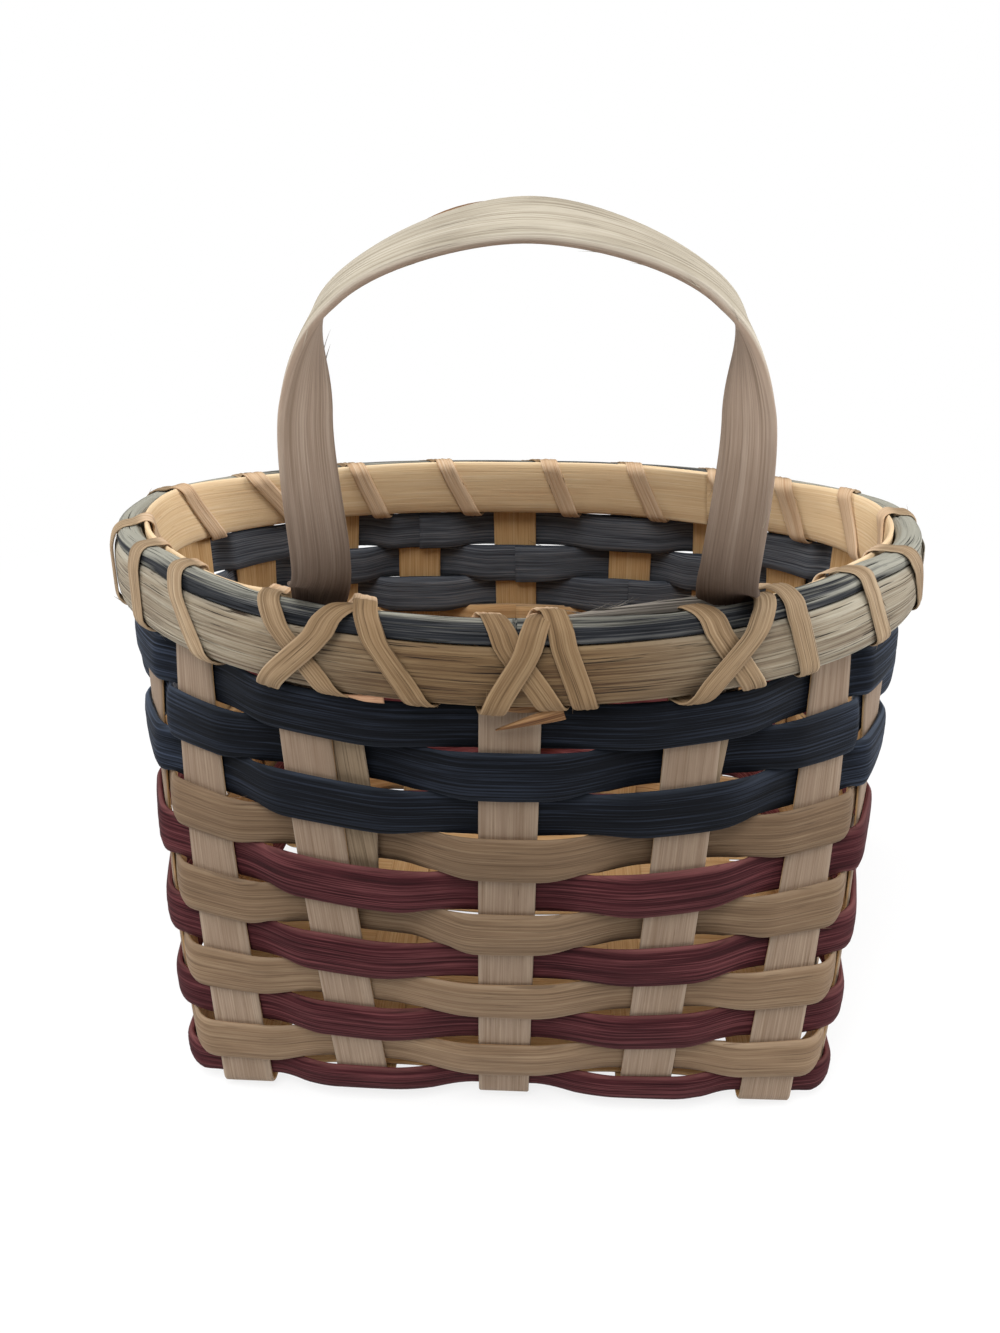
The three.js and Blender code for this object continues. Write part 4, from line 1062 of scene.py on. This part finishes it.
def handle_splinter():
    """The dark splinter along the arch's far edge, left of its top."""
    upward = unit(np.array([0, 0.46, 0.89]))
    lowest, left, right, width, tip = 240, -21, -2, 0.8, 0.15
    arch = [section for section in SECTIONS["handle"]
            if section[:, 2].mean() > lowest and left < section[:, 0].mean() - SHIFT[0] < right]
    edge = np.array([section[np.argmax(section @ upward)] for section in arch])
    if edge[0, 0] > edge[-1, 0]:
        edge = edge[::-1]
    way = unit(np.gradient(edge, axis=0))
    side = unit(np.cross(way, upward))
    reach = width * np.sin(np.linspace(tip, math.pi - tip, len(edge)))[:, None]
    return swept(edge, side, np.cross(side, way), reach * FIBRE_ACROSS, reach * FIBRE_OUT)


add_piece("handle_splinter", join_slivers("handle_splinter", [handle_splinter()], 1500),
          (CUT_END[0], "handle_reed"))


def weavers(rows):
    return [f"weaver_{row}" for row in rows]


# Name, sources, number, longest, lowest and look
LOOSE_FIBRES = [
    ("band", ["outer_band"], 70, 7, 0, BAND),
    ("navy", weavers(NAVY_ROWS), 60, 7, 0, NAVY),
    ("burgundy", weavers(BURGUNDY_ROWS), 60, 7, 0, BURGUNDY),
    ("natural", weavers(NATURAL_ROWS), 70, 7, 0, NATURAL),
    ("lashing", ["rim_lashing"], 90, 5, 0, LASHING),
    ("handle", ["handle"], 22, 6, 185, HANDLE),
    ("filler", ["filler_end"], 26, 9, 0, SMOKED_END)]
for seed, (name, sources, count, longest, lowest, look) in enumerate(LOOSE_FIBRES, 1):
    fibres = edge_fibres(sources, count, seed, longest, lowest)
    add_piece(f"loose_fibres_{name}", join_slivers("fibres", fibres, 700 + 100 * seed), look)


def stand(name, data, x_axis, y_axis, z_axis, place):
    """A new object with these axes, at a place in metres."""
    made = new_object(name, data)
    turn = np.eye(4)
    turn[:3] = np.stack([x_axis, y_axis, z_axis, place], 1)
    made.matrix_world = Matrix(turn.tolist())
    return made


# Camera at the photograph's place
FOCAL, FRAME_HEIGHT, SENSOR = 1037.6, 1333, 36
CAMERA_PLACE = np.array([10.5, -311.2, 279.4])
HEADING, TILT, ROLL = np.radians([-2.78, 27.42, -0.136])
forward = np.array([math.sin(HEADING) * math.cos(TILT), math.cos(HEADING) * math.cos(TILT), -math.sin(TILT)])
right = unit(np.cross(forward, [0, 0, 1]))
above = np.cross(right, forward)
camera_data = bpy.data.cameras.new("camera")
camera_data.sensor_width = SENSOR
camera_data.lens = SENSOR * FOCAL / FRAME_HEIGHT
camera_data.clip_start, camera_data.clip_end = 0.01, 30
bpy.context.scene.camera = stand(
    "camera", camera_data, math.cos(ROLL) * right + math.sin(ROLL) * above,
    -math.sin(ROLL) * right + math.cos(ROLL) * above, -forward, (CAMERA_PLACE + SHIFT) * MM)

# Floor, world and lamps, in metres
FLOOR_HALF, FLOOR_DROP, FLOOR_GREY = 6, 0.0004, 0.86
# How white the camera sees the floor near the object, and where that grows to 1
WHITE_NEAR, WHITE_START, WHITE_END = 0.8, 0.14, 0.55
SOFT_LIGHT = 0.22
LAMP_TARGET = np.array([0, 0, 0.1])
WHITE = (1, 1, 1, 1)


def floor_material():
    material, n = new_material("pale_floor")
    diffuse = n.add("BsdfDiffuse", {"Color": (FLOOR_GREY, FLOOR_GREY, FLOOR_GREY, 1)}).outputs[0]
    glow = n.add("Emission", {"Color": WHITE, "Strength": 1}).outputs[0]
    place = n.add("NewGeometry").outputs["Position"]
    reach = n.add("VectorMath", {0: place}, operation="LENGTH").outputs["Value"]
    share = n.math("MULTIPLY", n.seen(), n.span(reach, WHITE_START, WHITE_END, WHITE_NEAR, 1))
    mix = n.add("MixShader", {"Fac": share, 1: diffuse, 2: glow})
    n.add("OutputMaterial", {"Surface": mix.outputs[0]})
    return material


floor_mesh = bpy.data.meshes.new("floor")
floor_mesh.from_pydata([(x * FLOOR_HALF, y * FLOOR_HALF, 0) for x, y in ((-1, -1), (1, -1), (1, 1), (-1, 1))],
                       [], [(0, 1, 2, 3)])
floor_mesh.materials.append(floor_material())
floor = new_object("floor", floor_mesh)
floor.location.z = -FLOOR_DROP

world = bpy.data.worlds.new("studio")
bpy.context.scene.world = world
world.use_nodes = True
n = Nodes(world.node_tree)
soft, white = (n.add("Background", {"Color": WHITE, "Strength": strength}).outputs[0]
               for strength in (SOFT_LIGHT, 1))
mix = n.add("MixShader", {"Fac": n.seen(), 1: soft, 2: white})
n.add("OutputWorld", {"Surface": mix.outputs[0]})


def lamp(name, place, size, energy):
    data = bpy.data.lights.new(name, "AREA")
    data.shape = "SQUARE"
    data.size, data.energy = size, energy
    aim = unit(np.array(place) - LAMP_TARGET)
    x_axis = unit(np.cross([0, 0, 1], aim))
    stand(name, data, x_axis, np.cross(aim, x_axis), aim, place)


lamp("top_lamp", (-0.3, -1.05, 2.25), 1.5, 66)
lamp("right_lamp", (1.6, 0.1, 0.7), 0.8, 24)
lamp("left_lamp", (-1.6, 0.1, 0.7), 0.8, 15)

bpy.context.scene.view_settings.view_transform = "Standard"

bpy.context.view_layer.update()
